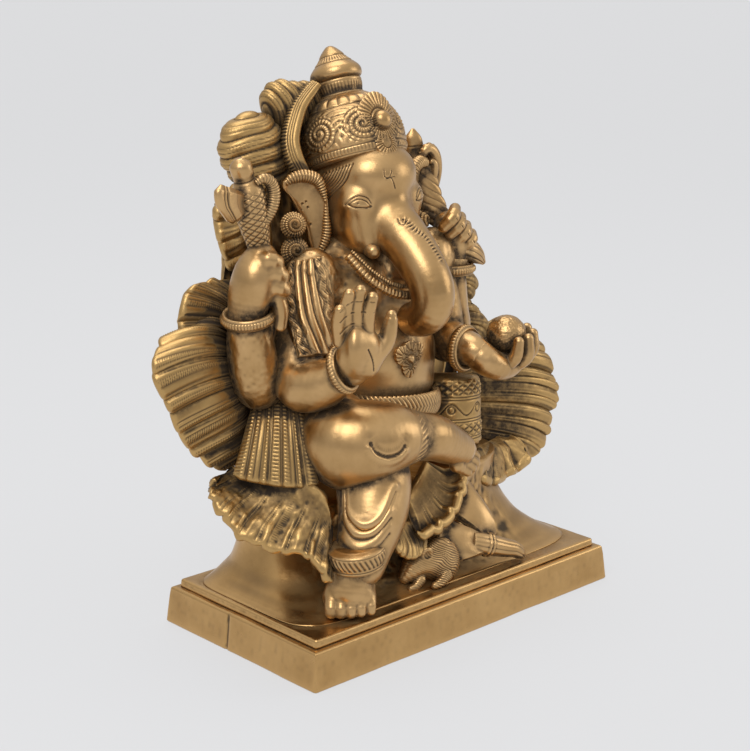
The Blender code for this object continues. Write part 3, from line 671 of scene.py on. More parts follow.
def face(skin):
    """Engraved lines of the face: eyes, brow mark, combed hair and the trunk's row of ticks."""
    eye = [((-32, -24, 2.1), (-26.5, -24, 4.6), (-21.5, -24, 5.1), (-16, -24, 3.1), (-13, -24, -0.4)),
           ((-29.5, -24, 1.6), (-23, -24, 3.3), (-17.5, -24, 1.8), (-13, -24, -2)),
           ((-29.5, -24, 1.6), (-25.5, -24, -0.7), (-20.5, -24, -1.7), (-16, -24, -2.4), (-13, -24, -2))]
    for side in (1, -1):
        mirror = np.array((side, 1, 1))
        drawn = [(near("head", *line) * mirror, 0.42, -0.75, 0) for line in eye]
        drawn.append((near("head", (-22.5, -24, 1)) * mirror, 0.7, -0.6, 0))
        skin.engrave(drawn, LOOK * mirror)
    mark = [((-11.5, -32, 18.6), (-11, -32, 15.1), (-8, -32, 14.1), (-6, -32, 16.1), (-6.2, -32, 17.6)),
            ((-10, -32, 13.6), (-4, -32, 14.1)), ((-6.5, -32, 14.1), (-4.5, -32, 11.1), (-3.5, -32, 8.1))]
    skin.engrave([(near("head", *line), 0.4, -0.5, 0) for line in mark])
    strands = 9
    first = np.array([(-15.5, -12, 19.1), (-21, -12, 11.1), (-34, -12, 4.1)])
    last = np.array([(-35, -12, 18.6), (-38.5, -12, 16.6), (-41.5, -12, 15.6)])
    for k in range(strands):
        share = k / (strands - 1)
        skin.engrave([(near("head", *(first * (1 - share) + last * share)), 0.55, -1.0, 0)])
    row = near("head", (-7.5, -42, -6.9), (-4, -42, -8.4), (-5, -48, -10.9), (3.5, -48, -16.9),
            (2, -56, -21.4), (7.5, -56, -28.9))
    skin.engrave([(row, 1.9, -0.6, 1.9)])
    scroll = near("head", (-9, -40, -6.4), (-7.5, -40, -9.4), (-4.5, -40, -10.4), (-3.5, -40, -8.4),
            (-5.5, -40, -7.4))
    skin.engrave([(scroll, 0.4, -0.45, 0)])


def ear(side, name):
    """A drooping leaf-shaped ear: a smooth dished face, a rolled ribbed rim and a row of drilled dots."""
    turn = turn_matrix((90, 0, side * 20))
    place = near("ear_right", (0.3, -1.4, -1.5))[0] * (-side, 1, 1)
    rim = np.array([(-14, 17), (-10, 19.5), (-3, 20.5), (4, 18), (7.5, 12), (9.5, 5), (9.8, -5), (9.8, -12),
            (8, -18), (4, -25), (0.5, -17), (-1.5, -8), (-6, 1), (-10.5, 9), (-14, 13), (-14, 17)], float)
    rim[:, 0] *= -side
    loop = smooth(np.column_stack([rim, np.zeros(len(rim))]), 0.5)[:-1]
    centre = np.array([-side * 1.0, 0.0, 0])

    def ring(t, z):
        row = centre + (loop - centre) * t
        row[:, 2] = z
        return row
    rows = [ring(t, 3.4 - 2.8 * (1 - t ** 4)) for t in np.linspace(0.02, 1, 40)]
    rows += [ring(t, -3.0 - 1.5 * (1 - t ** 2)) for t in np.linspace(1, 0.02, 24)]
    plate = grid_skin(np.array(rows))
    top = np.column_stack([rim[:6] * 0.94, np.full(6, 2.0), [1.6, 2.8, 3.4, 3.2, 2.2, 0.8]])
    low = np.column_stack([rim[5:10] * 0.95, np.full(5, 1.6), [0.7, 2.0, 2.6, 2.2, 0.8]])

    def ribbed(s, angle):
        return 0.35 * np.cos(math.tau * s / 1.6)
    lip = tube(top, 0.4, ribbed).joined(tube(low, 0.4, ribbed))
    for spot in ((-3.5, 4.5), (-1.5, 5.5), (-4.2, 1.5), (-3.6, -1.8), (-1.6, -4.8), (1.0, -6.6), (-0.5, 2.5)):
        at = np.array([[-side * spot[0], spot[1], 0.8]])
        plate.line(at, 0.5, -1.0)
    for part in (plate, lip):
        part.points = part.points @ turn.T + place
    cast(name + "_ear_cast", plate.joined(lip), "ear_" + name, shelter=0.35)


def curls(side, name):
    """Two coiled locks beside the ear, each a cone of ribbed turns."""
    for level in ("upper", "lower"):
        node_name = f"curl_{level}_{name}"
        low, high = box(node_name)
        middle = (low + high) / 2 + (np.array((-7, 7, 0)) if side > 0 else 0)
        wide = (high - low).min() / 2

        def spiral(s, angle):
            ticks = 0.25 * np.cos(angle * 26)
            ring = (s / 2.4 + angle / math.tau) % 1
            return 0.9 * np.abs(np.sin(math.pi * ring)) ** 0.7 - 0.4 + ticks * np.clip(s / 4, 0, 1)
        profile = [(0.05, wide + 0.5), (wide * 0.5, wide * 0.85), (wide * 0.9, wide * 0.3),
                (wide, -wide * 0.3), (wide * 0.6, -wide)]
        bun = turned(profile[::-1], 0.35, spiral)
        turn = np.array(facing((-side * 0.5, 0.85, -0.2)).to_matrix())
        bun.points = bun.points @ turn.T + middle
        cast(f"{name}_{level}_curl_cast", bun, node_name)


# ---------------------------------------------------------------- crown

def crown():
    foot = near("crown_dome", (0, -2.6, -12.8))[0]

    def band(s, at, wide):
        return np.clip(1 - np.abs(s - at) / wide, 0, 1) ** 0.4

    def dome(s, angle):
        """Brim band with ticks, scrolls in the middle and hanging petals above."""
        lines = sum(np.exp(-((s - at) / 0.3) ** 2) for at in (2.4, 6.4, 30.5))
        ticks = np.cos(angle * 92) * band(s, 4.4, 1.7)
        scrolls = band(s, 18, 11)
        swirl = np.zeros_like(s + angle)
        for k in range(7):
            centre = math.tau * (k + 0.5) / 7
            across = (np.angle(np.exp(1j * (angle - centre)))) * 25
            up = s - 17
            r = np.hypot(across, up)
            twist = np.arctan2(up, across) * (1 if k % 2 else -1)
            curl = np.abs(np.sin(math.pi * (r / 3.0 + twist / math.tau))) ** 0.7
            inside = np.clip((10.5 - r) * 0.8, 0, 1)
            swirl = np.maximum(swirl, inside * (curl + 0.22 * np.cos(twist * 22) * curl))
            leaf = np.abs(np.sin(twist * 9 + r * 0.55)) ** 0.6 * np.clip((r - 9.6) * 1.2, 0,
                    1) * np.clip((17 - r) * 0.5, 0, 1)
            swirl = np.maximum(swirl, 0.85 * leaf)
        petals = np.abs(np.sin(angle * 11)) ** 0.5 * band(s, 34.5, 4)
        return -0.45 * lines + 0.18 * ticks + 1.1 * swirl * scrolls + 1.0 * petals
    profile = [(26.5, -4.5), (28.2, -3.2), (28.8, 0.4), (28.7, 4), (28.2, 9), (27, 15), (24.4, 21.5),
            (20, 27.2), (14.5, 31.4)]
    cast("dome_cast", turned(profile, 0.42, dome, CROWN_LEAN, foot), "crown_dome")

    def flutes(s, angle):
        return 0.55 * (np.abs(np.sin(angle * 21)) ** 0.6) * band(s, 5.2,
                2.6) - 0.4 * np.exp(-((s - 2) / 0.3) ** 2)
    cast("collar_cast", turned([(12.8, 31), (12.9, 32.4), (12.0, 33.6), (12.2, 36), (13.0, 39.4),
            (12.2, 40.4)], 0.4, flutes, CROWN_LEAN, foot), "crown_collar")

    def onion(s, angle):
        lines = sum(np.exp(-((s - at) / 0.3) ** 2) for at in (12.4, 17.8))
        ticks = np.abs(np.sin(angle * 17)) ** 0.6 * band(s, 15.1, 2.3)
        return -0.45 * lines + 0.4 * ticks
    cast("finial_cast", turned([(11.2, 40.2), (13.4, 41.6), (14.2, 43.6), (13.6, 46.6), (10.6, 50),
            (8.2, 52), (6.6, 55), (4.4, 57.6), (2.2, 59.6), (0.4, 60.3)], 0.4, onion, CROWN_LEAN, foot),
            "finial")
    medallion()


def sunburst(place, size, rays, point, turn, inner=0.42, dome=2.4, wrap=0.0):
    """A rayed disc that faces out of the metal. Point draws its top up, or its foot down if negative."""
    angle = math.tau * np.arange(320) / 320
    reach = 1 + 0.20 * np.clip(np.sign(point) * np.sin(angle), 0, 1) ** 4 * abs(point)
    rows = []
    for r in np.linspace(0.02, 1, 40):
        fine = 0.8 * np.abs(np.sin(angle * rays / 2)) ** 0.6 * np.clip((r - inner) / 0.12, 0, 1)
        fine = fine - 0.5 * math.exp(-((r - inner) / 0.04) ** 2)
        across = r * size * reach * np.cos(angle)
        rows.append(np.stack([across, r * size * reach * np.sin(angle), dome + fine - 1.2 * r * r
                - wrap * across ** 2], 1))
    for r in (0.96, 0.5, 0.04):
        across = r * size * np.cos(angle)
        rows.append(np.stack([across, r * size * np.sin(angle), -3.0 - wrap * across ** 2], 1))
    skin = grid_skin(np.array(rows))
    return Skin(skin.points @ turn.T + place, skin.quads, skin.tris)


def medallion():
    """A sunburst fan with a pointed top round a domed boss, and a small fan that hangs below it."""
    turn = turn_matrix((66, 0, -8))
    top = sunburst(near("crown_medallion", (-2, -2.1, 0.6))[0], 12.8, 34, 1, turn, wrap=0.022)
    low = sunburst(near("crown_medallion", (-2, -7.1, -10.6))[0], 6.8, 22, -1, turn, wrap=0.02)
    cast("medallion_cast", top.joined(low), "crown_medallion", shelter=0.5)
    boss = turned([(4.9, -1.5), (5.2, 0.6), (4.4, 3.0), (2.6, 4.6), (0.2, 5.2)], 0.35,
                  lambda s, a: 0.15 * np.cos(a * 24) * np.exp(-((s - 2.5) / 0.9) ** 2))
    boss = Skin(boss.points @ turn.T + near("crown_boss", (-2, -0.8, -0.2))[0], boss.quads, boss.tris)
    cast("boss_cast", boss, "crown_boss")


# ---------------------------------------------------------------- body and dress

def body():
    clay = Clay(near("chest", (-67.4, -54, -82.3), (64.6, 38, 45.7)), 0.7)
    clay.ball(near("belly", (0, 0, 0)), (37, 28.5, 30))
    clay.ball(near("chest", (0.6, 0, -2.3)), (42, 19, 34), soft=9)
    clay.ball(near("chest", (-19.4, -14, 1.7)), (17, 13, 15), soft=8)
    clay.ball(near("chest", (20.6, -14, 1.7)), (17, 13, 15), soft=8)
    clay.ball(near("chest", (-47.4, -12, 7.7)), (15, 13, 16), soft=8)
    clay.ball(near("chest", (44.6, -8, 7.7)), (14, 13, 16), soft=8)
    clay.ball(near("belly", (0, 5, -17)), (40, 30, 18), soft=8)
    skin = clay.skin(3)
    skin.push(lambda p: 0.15 * noise(p, 8.0) + 0.25 * noise(p, 2.6) * np.clip((p[:, 2] - 168) / 10, 0, 1))
    cast("torso_cast", skin, "belly", "chest", shelter=0.6)

    def beads(s, angle):
        return 0.7 * np.abs(np.sin(math.pi * s / 2.2)) ** 0.6 - 0.4 * np.exp(-((angle - 1.2) / 0.2) ** 2)
    necklace = tube(near("necklace", (-34.1, 4.1, 15.1, 1.6), (-25.1, -3.9, 2.1, 1.8),
            (-11.1, -8.9, -6.4, 1.8), (5.9, -9.4, -7.9, 1.8), (21.9, -4.4, -0.9, 1.8),
            (31.9, 5.1, 13.1, 1.6)), 0.4, beads, (0, -1, 0))
    upper = tube(near("necklace", (-31.1, 4.1, 17.1, 0.9), (-22.1, -3.9, 5.6, 1.0), (-9.1, -8.4, -2.4, 1.0),
                      (7.9, -8.4, -2.9, 1.0), (19.9, -3.9, 4.1, 1.0), (28.9, 4.1, 15.1, 0.9)), 0.4,
                 lambda s, a: 0.35 * np.cos(math.tau * s / 1.5), (0, -1, 0))
    cast("necklace_cast", necklace.joined(upper), "necklace")

    def weave(s, angle):
        chevron = np.cos(math.tau * (s / 2.6 + np.abs(angle - math.pi) * 1.2))
        return 0.3 * chevron - 0.5 * np.exp(-((angle - 1.5) / 0.12) ** 2) - 0.5 * np.exp(-((angle - 4.7)
                / 0.12) ** 2)
    belt = tube(near("belt", (-38, 17.9, 7.1, 2), (-24, -7.1, 5.1, 2.3), (0, -15.6, 3.1, 2.4),
            (24, -7.1, 0.6, 2.3), (37, 17.9, 0.1, 2)), 0.4, weave, (0, 1, 0), 2.6)
    cast("belt_cast", belt, "belt")
    flower()
    sash()
    bolster()


def flower():
    """The pendant: lotus fans that spread sideways and down from a small heart."""
    low, high = box("pendant")
    middle = (low + high) / 2
    fans = []
    for x, z, size, tilt in ((-4.6, 2.6, 5.0, 34), (4.6, 2.6, 5.0, -34), (0, 3.6, 5.4, 0),
            (0, -3.2, 5.2, 180)):
        turn = turn_matrix((92, 0, 0)) @ turn_matrix((0, 0, tilt))
        fans.append(sunburst(middle + (x, 1.2, z), size, 12, 1.6, turn, 0.3, 2.0))
    heart = turned([(2.4, -1), (2.5, 0.8), (1.6, 2.6), (0.2, 3.2)], 0.35)
    heart.points = heart.points @ turn_matrix((92, 0, 0)).T + middle + (0, 0.4, 0.8)
    fans.append(heart)
    cast("pendant_cast", join(fans), "pendant", shelter=0.6)


def draped(under, left, right, direction, lift, thickness, relief):
    """Cloth between two edges laid on the skins under it: each point falls along direction until it lands."""
    spacing = 0.45
    left, right = smooth(left, spacing), smooth(right, spacing)
    rows = max(len(left), len(right))
    left, right = resample(left, rows), resample(right, rows)
    columns = round(np.linalg.norm(left - right, axis=1).max() / spacing)
    a = np.linspace(0, 1, columns)[:, None]
    t = np.linspace(0, 1, rows)[None]
    base = left[None] * (1 - a[..., None]) + right[None] * a[..., None]
    direction = unit(np.array(direction, float))
    trees = [BVHTree.FromPolygons(skin.points.tolist(), skin.quads.tolist()) for skin in under]
    depth = np.full(base.shape[:2], np.nan)
    for i, j in np.ndindex(*depth.shape):
        start = base[i, j] - direction * 70
        hits = [tree.ray_cast(Vector(start), Vector(direction))[3] for tree in trees]
        hits = [hit for hit in hits if hit is not None]
        depth[i, j] = min(hits) - 70 if hits else np.nan
    depth[np.isnan(depth)] = np.nanmean(depth)
    ground = depth.copy()
    for rounds in (60, 8):
        for _ in range(rounds):
            padded = np.pad(depth, 1, mode="edge")
            depth = (padded[:-2, 1:-1] + padded[2:, 1:-1] + padded[1:-1, :-2] + padded[1:-1, 2:]) / 4
        depth = np.minimum(depth, ground)
    base = base + direction * depth[..., None]
    normal = grid_normals(base, -direction)
    base = base + normal * lift
    span = np.linalg.norm(left - right, axis=1).mean()
    front = relief(a, t, span, t * lengths(left)[-1])
    return wall(base, normal, thickness / 2 + 0 * a * t, front)


def shawl():
    def folds(a, t, width, depth):
        fold = 2.0 * np.abs(np.sin(math.pi * np.clip((a - 0.26) / 0.44, 0, 1) * 3)) ** 0.5
        curve = a * width + 1.3 * np.sin(depth / 2.2)
        border = sum(np.exp(-((curve - at * width) / 0.45) ** 2) for at in (0.05, 0.085, 0.22, 0.25, 0.74,
                0.77, 0.93, 0.965))
        dots = np.cos(math.tau * depth / 5.5) * (np.exp(-((a - 0.85) / 0.05) ** 2)
                + np.exp(-((a - 0.15) / 0.045) ** 2))
        hatch = np.cos(math.tau * (depth - a * width) / 1.9) * (np.exp(-((a - 0.85) / 0.06) ** 2)
                + np.exp(-((a - 0.15) / 0.06) ** 2))
        return fold - 0.55 * border + 0.4 * dots + 0.16 * hatch + 0.3 * np.exp(-((a - 0.85) / 0.07) ** 2)
    upper_arm = tube(near("arm_front_right", (15.5, 20.4, 28, 12), (5.5, 14.4, 4, 13),
            (-2.5, 9.4, -13, 13)), 1.2)
    under = [item["skin"] for item in CASTS if item["name"] == "torso_cast"] + [upper_arm]
    skin = draped(under, near("shawl", (-30, 3.4, 15.5), (-34, 1.4, 4.5), (-34, 1.4, -12.5),
            (-29.5, 1.4, -24.5), (-25, 1.4, -34)), near("shawl", (-11, -0.6, 17), (-6.5, -0.6, 0.5),
            (-2, -0.6, -14.5), (2.5, -0.6, -27.5), (5, -0.6, -36.5)), LOOK, 0.9, 2.6, folds)
    cast("shawl_cast", skin, "shawl")


def sash():
    def ladder(a, t, width, depth):
        f = (7 * a) % 1
        rungs = np.cos(math.tau * depth / 1.9) * np.clip(1 - np.abs(f - 0.5) / 0.28, 0, 1) ** 0.4
        rails = np.exp(-((f - 0.2) / 0.05) ** 2) + np.exp(-((f - 0.8) / 0.05) ** 2)
        return 0.24 * rungs - 0.35 * rails
    skin = sheet(near("pleated_sash", (19.9, -5.2, 15.9), (11.9, 6.8, 15.9), (3.9, 16.8, 13.9)),
            near("pleated_sash", (13.9, -23.2, -21.1), (2.9, -15.2, -21.1), (-8.1, -5.2, -19.1),
            (-18.1, 5.8, -16.1)), (-4, -5, 2), 5, 0.45, ribs=7, depth=1.6, relief=ladder)
    cast("sash_cast", skin, "pleated_sash", slot="aged_brass")


def bolster():
    def cloth(s, angle):
        """Two bands of crossed lines with a waved band of rings between them."""
        lines = sum(np.exp(-((s - at) / 0.4) ** 2) for at in (7, 8.4, 17.5, 19, 30, 31.5))
        cross = np.maximum(np.cos(angle * 17 + s * 1.45), np.cos(angle * 17 - s * 1.45))
        crossed = np.clip(1 - np.abs(s - 13) / 4.3, 0, 1) ** 0.3 + np.clip(1 - np.abs(s - 36.2) / 4.5, 0,
                1) ** 0.3
        wave = np.exp(-((s - 24.5 - 3.2 * np.sin(angle * 6)) / 0.5) ** 2)
        ring = np.abs(np.hypot(((angle * 6 / math.tau + 0.25) % 1 - 0.5) * 18, s - 24.5) - 2.0)
        return -0.7 * lines - 0.55 * cross * crossed - 0.75 * wave - 0.6 * np.exp(-(ring / 0.5) ** 2)
    skin = tube(near("bolster", (-1.5, -3.1, -19.8, 15.5), (-1, -1.6, -15.8, 17.3),
            (-0.5, -0.1, -0.8, 17.6), (0.5, 1.4, 16.2, 17.3), (0.8, 1.9, 21.2, 15.5), (1, 2.1, 22.7, 10)),
            0.5, cloth, (0, -1, 0))
    cast("bolster_cast", skin, "bolster", slot="aged_brass")


# ---------------------------------------------------------------- arms and hands

def bangle(name, node_name, normal, tick=1.6, wide=2.6, shift=(0, 0, 0), snug=0.0):
    low, high = box(node_name)
    middle = (low + high) / 2 + shift
    reach = (high - low).max() / 2 - 1.9 - snug
    a = unit(np.cross(normal, (0.3, 0.2, 1)))
    b = unit(np.cross(normal, a))
    turn = np.linspace(0, math.tau, 200, endpoint=False)[:, None]
    ring = middle + reach * (np.cos(turn) * a + np.sin(turn) * b)
    section = np.linspace(0, math.tau, 22, endpoint=False)
    out = unit(ring - middle)
    rows = []
    for angle in section:
        bead = 0.35 * np.cos(turn * round(math.tau * reach / tick)) * max(0,
                math.cos(angle * 2)) * (math.cos(angle) > 0)
        split = 0.5 * math.exp(-((abs(angle if angle < math.pi else angle - math.tau) - 0.75) / 0.2) ** 2)
        r = 1.9 - split + bead
        rows.append(ring + out * r * math.cos(angle) + unit(np.array(normal, float)) * r * wide / 1.9
                * math.sin(angle))
    grid = np.array(rows)
    index = np.arange(grid.shape[0] * grid.shape[1]).reshape(grid.shape[:2])
    quads = np.stack([index, np.roll(index, -1, 1), np.roll(np.roll(index, -1, 1), -1, 0),
            np.roll(index, -1, 0)], -1)
    cast(name, Skin(grid.reshape(-1, 3), quads.reshape(-1, 4)), node_name)


def arms():
    smooth_cast, rough_cast = 0.12, 0.3
    bars = {
        "front_right": ((15.5, 20.4, 26, 12), (5.5, 14.4, 4, 13), (-3.5, 8.4, -15, 13.5), (-6, 0.4, -22.5, 14.2),
                        (-3, -10.6, -20.5, 13), (0.5, -22.6, -13.5, 9.6), (0.5, -30.6, -7, 8.2)),
        "front_left": ((-4.1, 11.6, 29.9, 13), (3.9, 9.6, 3.9, 12.5), (2.9, 5.6, -16.1, 13),
                       (-1.1, -8.4, -18.6, 11.5), (-1.1, -20.4, -20.1, 9.4), (0.9, -26.4, -22.6, 8.2)),
        "back_right": ((26, 10.6, 25.7, 13), (8, 7.6, -2.3, 13), (-7, -1.4, -21.3, 13), (-16, -6.4, -22.3, 13.2),
                       (-22, -10.4, -12.3, 13), (-25, -11.9, 1.7, 12), (-27.5, -13.4, 16.7, 10),
                       (-28, -14.4, 25.7, 9.6)),
        "back_left": ((-13.3, 8.1, 25.1, 13), (0.7, 6.1, -0.9, 13), (6.7, -5.9, -16.9, 12),
                      (4.7, -8.9, -2.9, 10.5), (3.7, -9.9, 15.1, 8.8), (4.7, -10.9, 26.1, 8.4)),
    }
    for name, points in bars.items():
        rough = rough_cast if name == "back_right" else smooth_cast
        skin = tube(near("arm_" + name, *points), 0.6)
        skin.push(lambda p: rough * noise(p, 6.0) + 0.5 * rough * noise(p, 2.2))
        cast(name + "_arm_cast", skin, "arm_" + name)
    bangle("front_right_bangle_cast", "bracelet_front_right", (0.3, -0.85, 0.4))
    bangle("front_left_bangle_cast", "bracelet_front_left", (0.15, -0.98, 0), 1.6, 3.2, (-1.5, 0, 3.2), 1.2)
    bangle("back_right_bangle_cast", "bracelet_back_right", (-0.2, -0.1, 0.97), 1.5, 3.0)
    bangle("back_left_bangle_cast", "bracelet_back_left", (0, 0, 1), 1.5, 3.0, (-6.5, -2, -1))


def raised_hand():
    """Open palm towards the viewer: four fingers close together, the thumb apart."""
    clay = Clay(near("hand_front_right", (-32.6, -17, -33.6), (25.4, 17, 38.4)), 0.42)
    clay.limb(near("hand_front_right", (-5.6, 5, -15.6, 8.6), (-4.6, 2, -9.6, 9.5), (-4.6, 0.5, -2.6, 10)),
            soft=3)
    clay.ball(near("hand_front_right", (-6.6, 0.5, -3.6)), (12.5, 6.5, 14), (0, 6, 40), soft=3)
    clay.ball(near("hand_front_right", (0.4, -1.5, -9.6)), (8, 6, 10), (0, 25, 40), soft=3)
    clay.ball(near("hand_front_right", (-11.6, 1.5, -8.6)), (6, 6, 9.5), (0, -6, 40), soft=3)
    fingers = (((-14.6, 4, 0.4), (-17.6, 2, 10.4), (-18.6, -0.5, 16.9)),
               ((-11.6, 2, 3.4), (-14.6, -0.5, 16.4), (-15.1, -3.5, 24.9)),
               ((-7.6, -0.5, 4.4), (-10.1, -3, 17.4), (-10.1, -6, 26.4)),
               ((-3.1, -3, 3.4), (-4.6, -5.5, 14.4), (-4.1, -8, 22.4)))
    for base, middle, tip in fingers:
        clay.limb(near("hand_front_right", (*base, 3.7), (*middle, 3.6), (*tip, 2.9)), soft=0.8)
    clay.limb(near("hand_front_right", (1.4, -3, -8.6, 5.4), (7.9, -5, -1.6, 4.6), (9.9, -6, 7.4, 3.7),
                   (10.1, -6.5, 11.4, 2.6)), soft=2)
    skin = clay.skin(1)
    crease = near("hand_front_right", (-3.6, -5, -4.6), (-1.1, -5, -9.6), (-0.1, -5, -15.6))
    skin.engrave([(crease, 0.6, -0.7, 0)])
    for height in (9.4, 14.9, 19.9):
        skin.engrave([(near("hand_front_right", (-21.6, -4, height - 3), (-14.6, -5, height + 1),
                (-3.6, -9, height)), 0.35, -0.4, 0)])
    cast("raised_hand_cast", skin, "hand_front_right")


def bowl_hand():
    """An upturned hand: the palm sweeps under the sweet and three fingers curl up in front of it."""
    clay = Clay(near("hand_front_left", (-28.7, -30.1, -20), (33.3, 21.9, 26)), 0.42)
    clay.limb(near("hand_front_left", (-14.7, 5.9, 3, 8.8), (-11.7, -0.1, -1.5, 8.4), (-4.7, -2.1, -5.5, 8),
            (3.3, -0.1, -7, 7.5)), soft=3)
    clay.ball(near("hand_front_left", (5.3, 1.9, -7)), (12, 10, 6), soft=4)
    fingers = (((-0.7, -4.1, -5.5), (1.3, -10.1, 0), (2.8, -11.1, 8.5)),
            ((7.3, -4.1, -7), (10.3, -10.6, -1), (11.3, -10.6, 9)),
            ((14.3, -1.1, -6), (18.3, -7.1, 1), (19.3, -6.6, 10)),
            ((19.3, 5.9, -5), (23.3, 1.9, 2), (23.8, 1.9, 11)))
    for base, middle, tip in fingers:
        clay.limb(near("hand_front_left", (*base, 4.0), (*middle, 3.8), (*tip, 3.0)), soft=0.7)
    cast("bowl_hand_cast", clay.skin(1), "hand_front_left")
    r = 11.2
    profile = [(max(0.05, r * math.sin(t)), -r * math.cos(t)) for t in np.linspace(0.02, math.pi - 0.02, 60)]
    ball = turned(profile, 0.36)
    ball.points = ball.points + near("sweet", (6.7, 7, -1.1))[0]
    ball.push(lambda p: 0.16 * noise(p, 0.9) + 0.05 * noise(p, 4.0))
    cast("sweet_cast", ball, "sweet")


def fists():
    clay = Clay(near("hand_back_right", (-26, -26, -28), (26, 20, 30)), 0.48)
    clay.limb(near("hand_back_right", (-6, 2, -20, 9.6), (-5, 0.5, -8, 10.8), (-2, -1, 2, 11),
            (0.5, -2, 9, 8.5)), soft=3)
    clay.ball(near("hand_back_right", (-1.5, -3, -2)), (12.5, 9.5, 13), (0, 16, 20), soft=4)
    for x, y, z, r in ((3, -10, 7.5, 3.9), (5.5, -10.8, 0.5, 4.0), (6.5, -11, -6.5, 3.9)):
        clay.limb(near("hand_back_right", (x - 4.5, y, z + 2.5, r), (x - 0.5, y - 1, z + 1, r + 0.2),
                (x + 3, y + 3, z - 1.5, r - 0.4)), soft=2.2)
    clay.limb(near("hand_back_right", (4, -9, -8, 3.8), (5.5, -11, -16, 3.7), (4.5, -11.5, -24, 3.0)),
            soft=1.5)
    cast("right_fist_cast", clay.skin(2), "hand_back_right")
    clay = Clay(near("hand_back_left", (-31.5, -28, -27), (30.5, 18, 27)), 0.42)
    clay.limb(near("hand_back_left", (-5.5, -2, -15, 8.2), (-5.5, -3, -3, 9), (-8.5, -1, 6, 7.5)), soft=3)
    for k in range(4):
        top = np.array((-8.5 + 4.4 * k, -7, 15.5 - 5.2 * k))
        tip = np.array((-18.5 + 5.2 * k, -8, 6.5 - 4.6 * k))
        middle = (top + tip) / 2 + (-0.8, -3.4, 1)
        clay.limb(near("hand_back_left", (*top, 3.3), (*middle, 4.0), (*tip, 3.3)), soft=0.6)
    hand = clay.skin(1)
    for k in range(4):
        middle = np.array((-14 + 4.8 * k, -18, 12 - 4.9 * k))
        for shift in (-1.6, 1.6):
            ring = near("hand_back_left", tuple(middle + (shift + 2.4, 0, shift - 2.4)),
                    tuple(middle + (shift - 2.4, 0, shift + 2.4)))
            hand.engrave([(ring, 0.4, -0.4, 0)])
    cast("left_fist_cast", hand, "hand_back_left")


def axe():
    def lattice(s, angle):
        cross = np.maximum(np.cos(angle * 9 + s * 1.9), np.cos(angle * 9 - s * 1.9))
        fade = np.clip((s - 3) / 4, 0, 1) * np.clip((37 - s) / 4, 0, 1)
        return -0.5 * np.clip(cross, 0, 1) ** 2 * fade - 0.5 * np.exp(-((s - 41) / 0.5) ** 2)
    shaft = tube(near("axe", (12.2, 0.1, -25.6, 5), (11.2, 0.1, -17.6, 6), (9.2, 0.1, -9.6, 7.4),
            (6.7, 0.1, 0.4, 8.6), (5.2, 0.1, 8.4, 8.2), (3.2, 0.1, 14.4, 5.4), (1.7, -0.3, 18.4, 5.6),
            (0.2, -0.5, 21.9, 5.2), (-0.8, -0.5, 24.9, 2.0)), 0.42, lattice, (0, -1, 0))

    def rays(a, t, width, depth):
        edge = np.exp(-((t - 0.74) / 0.03) ** 2) + np.exp(-((t - 0.86) / 0.03) ** 2)
        return 0.4 * np.cos(math.tau * a * 11) * (t > 0.35) * (t < 0.70) - 0.4 * edge
    blade = sheet(near("axe", (-1.3, -2.9, 9.4), (-2.3, -2.9, 3.4), (-1.3, -2.9, -2.6)),
            near("axe", (-16.3, -6.9, 14.4), (-18.8, -7.9, 10.4), (-17.8, -7.9, 4.4), (-13.8, -6.9, -0.1),
            (-8.3, -4.9, -5.1)), (-1, -2, 0), 4.4, 0.36, relief=rays)
    hook = tube(near("axe", (5.7, -5.9, 12.9, 1.6), (9.2, -6.9, 14.9, 2.4), (13.7, -6.9, 12.9, 3.0),
            (15.9, -6.9, 7.4, 3.2), (15.1, -6.4, 0.9, 3.2), (12.2, -4.9, -6.1, 2.6),
            (10.2, -3.9, -11.6, 1.8)), 0.4, lambda s, a: 0.22 * np.cos(math.tau * s / 1.4)
            - 0.4 * np.exp(-((a - 1.6) / 0.2) ** 2), (0, -1, 0))
    cast("axe_cast", join([shaft, blade, hook]), "axe")


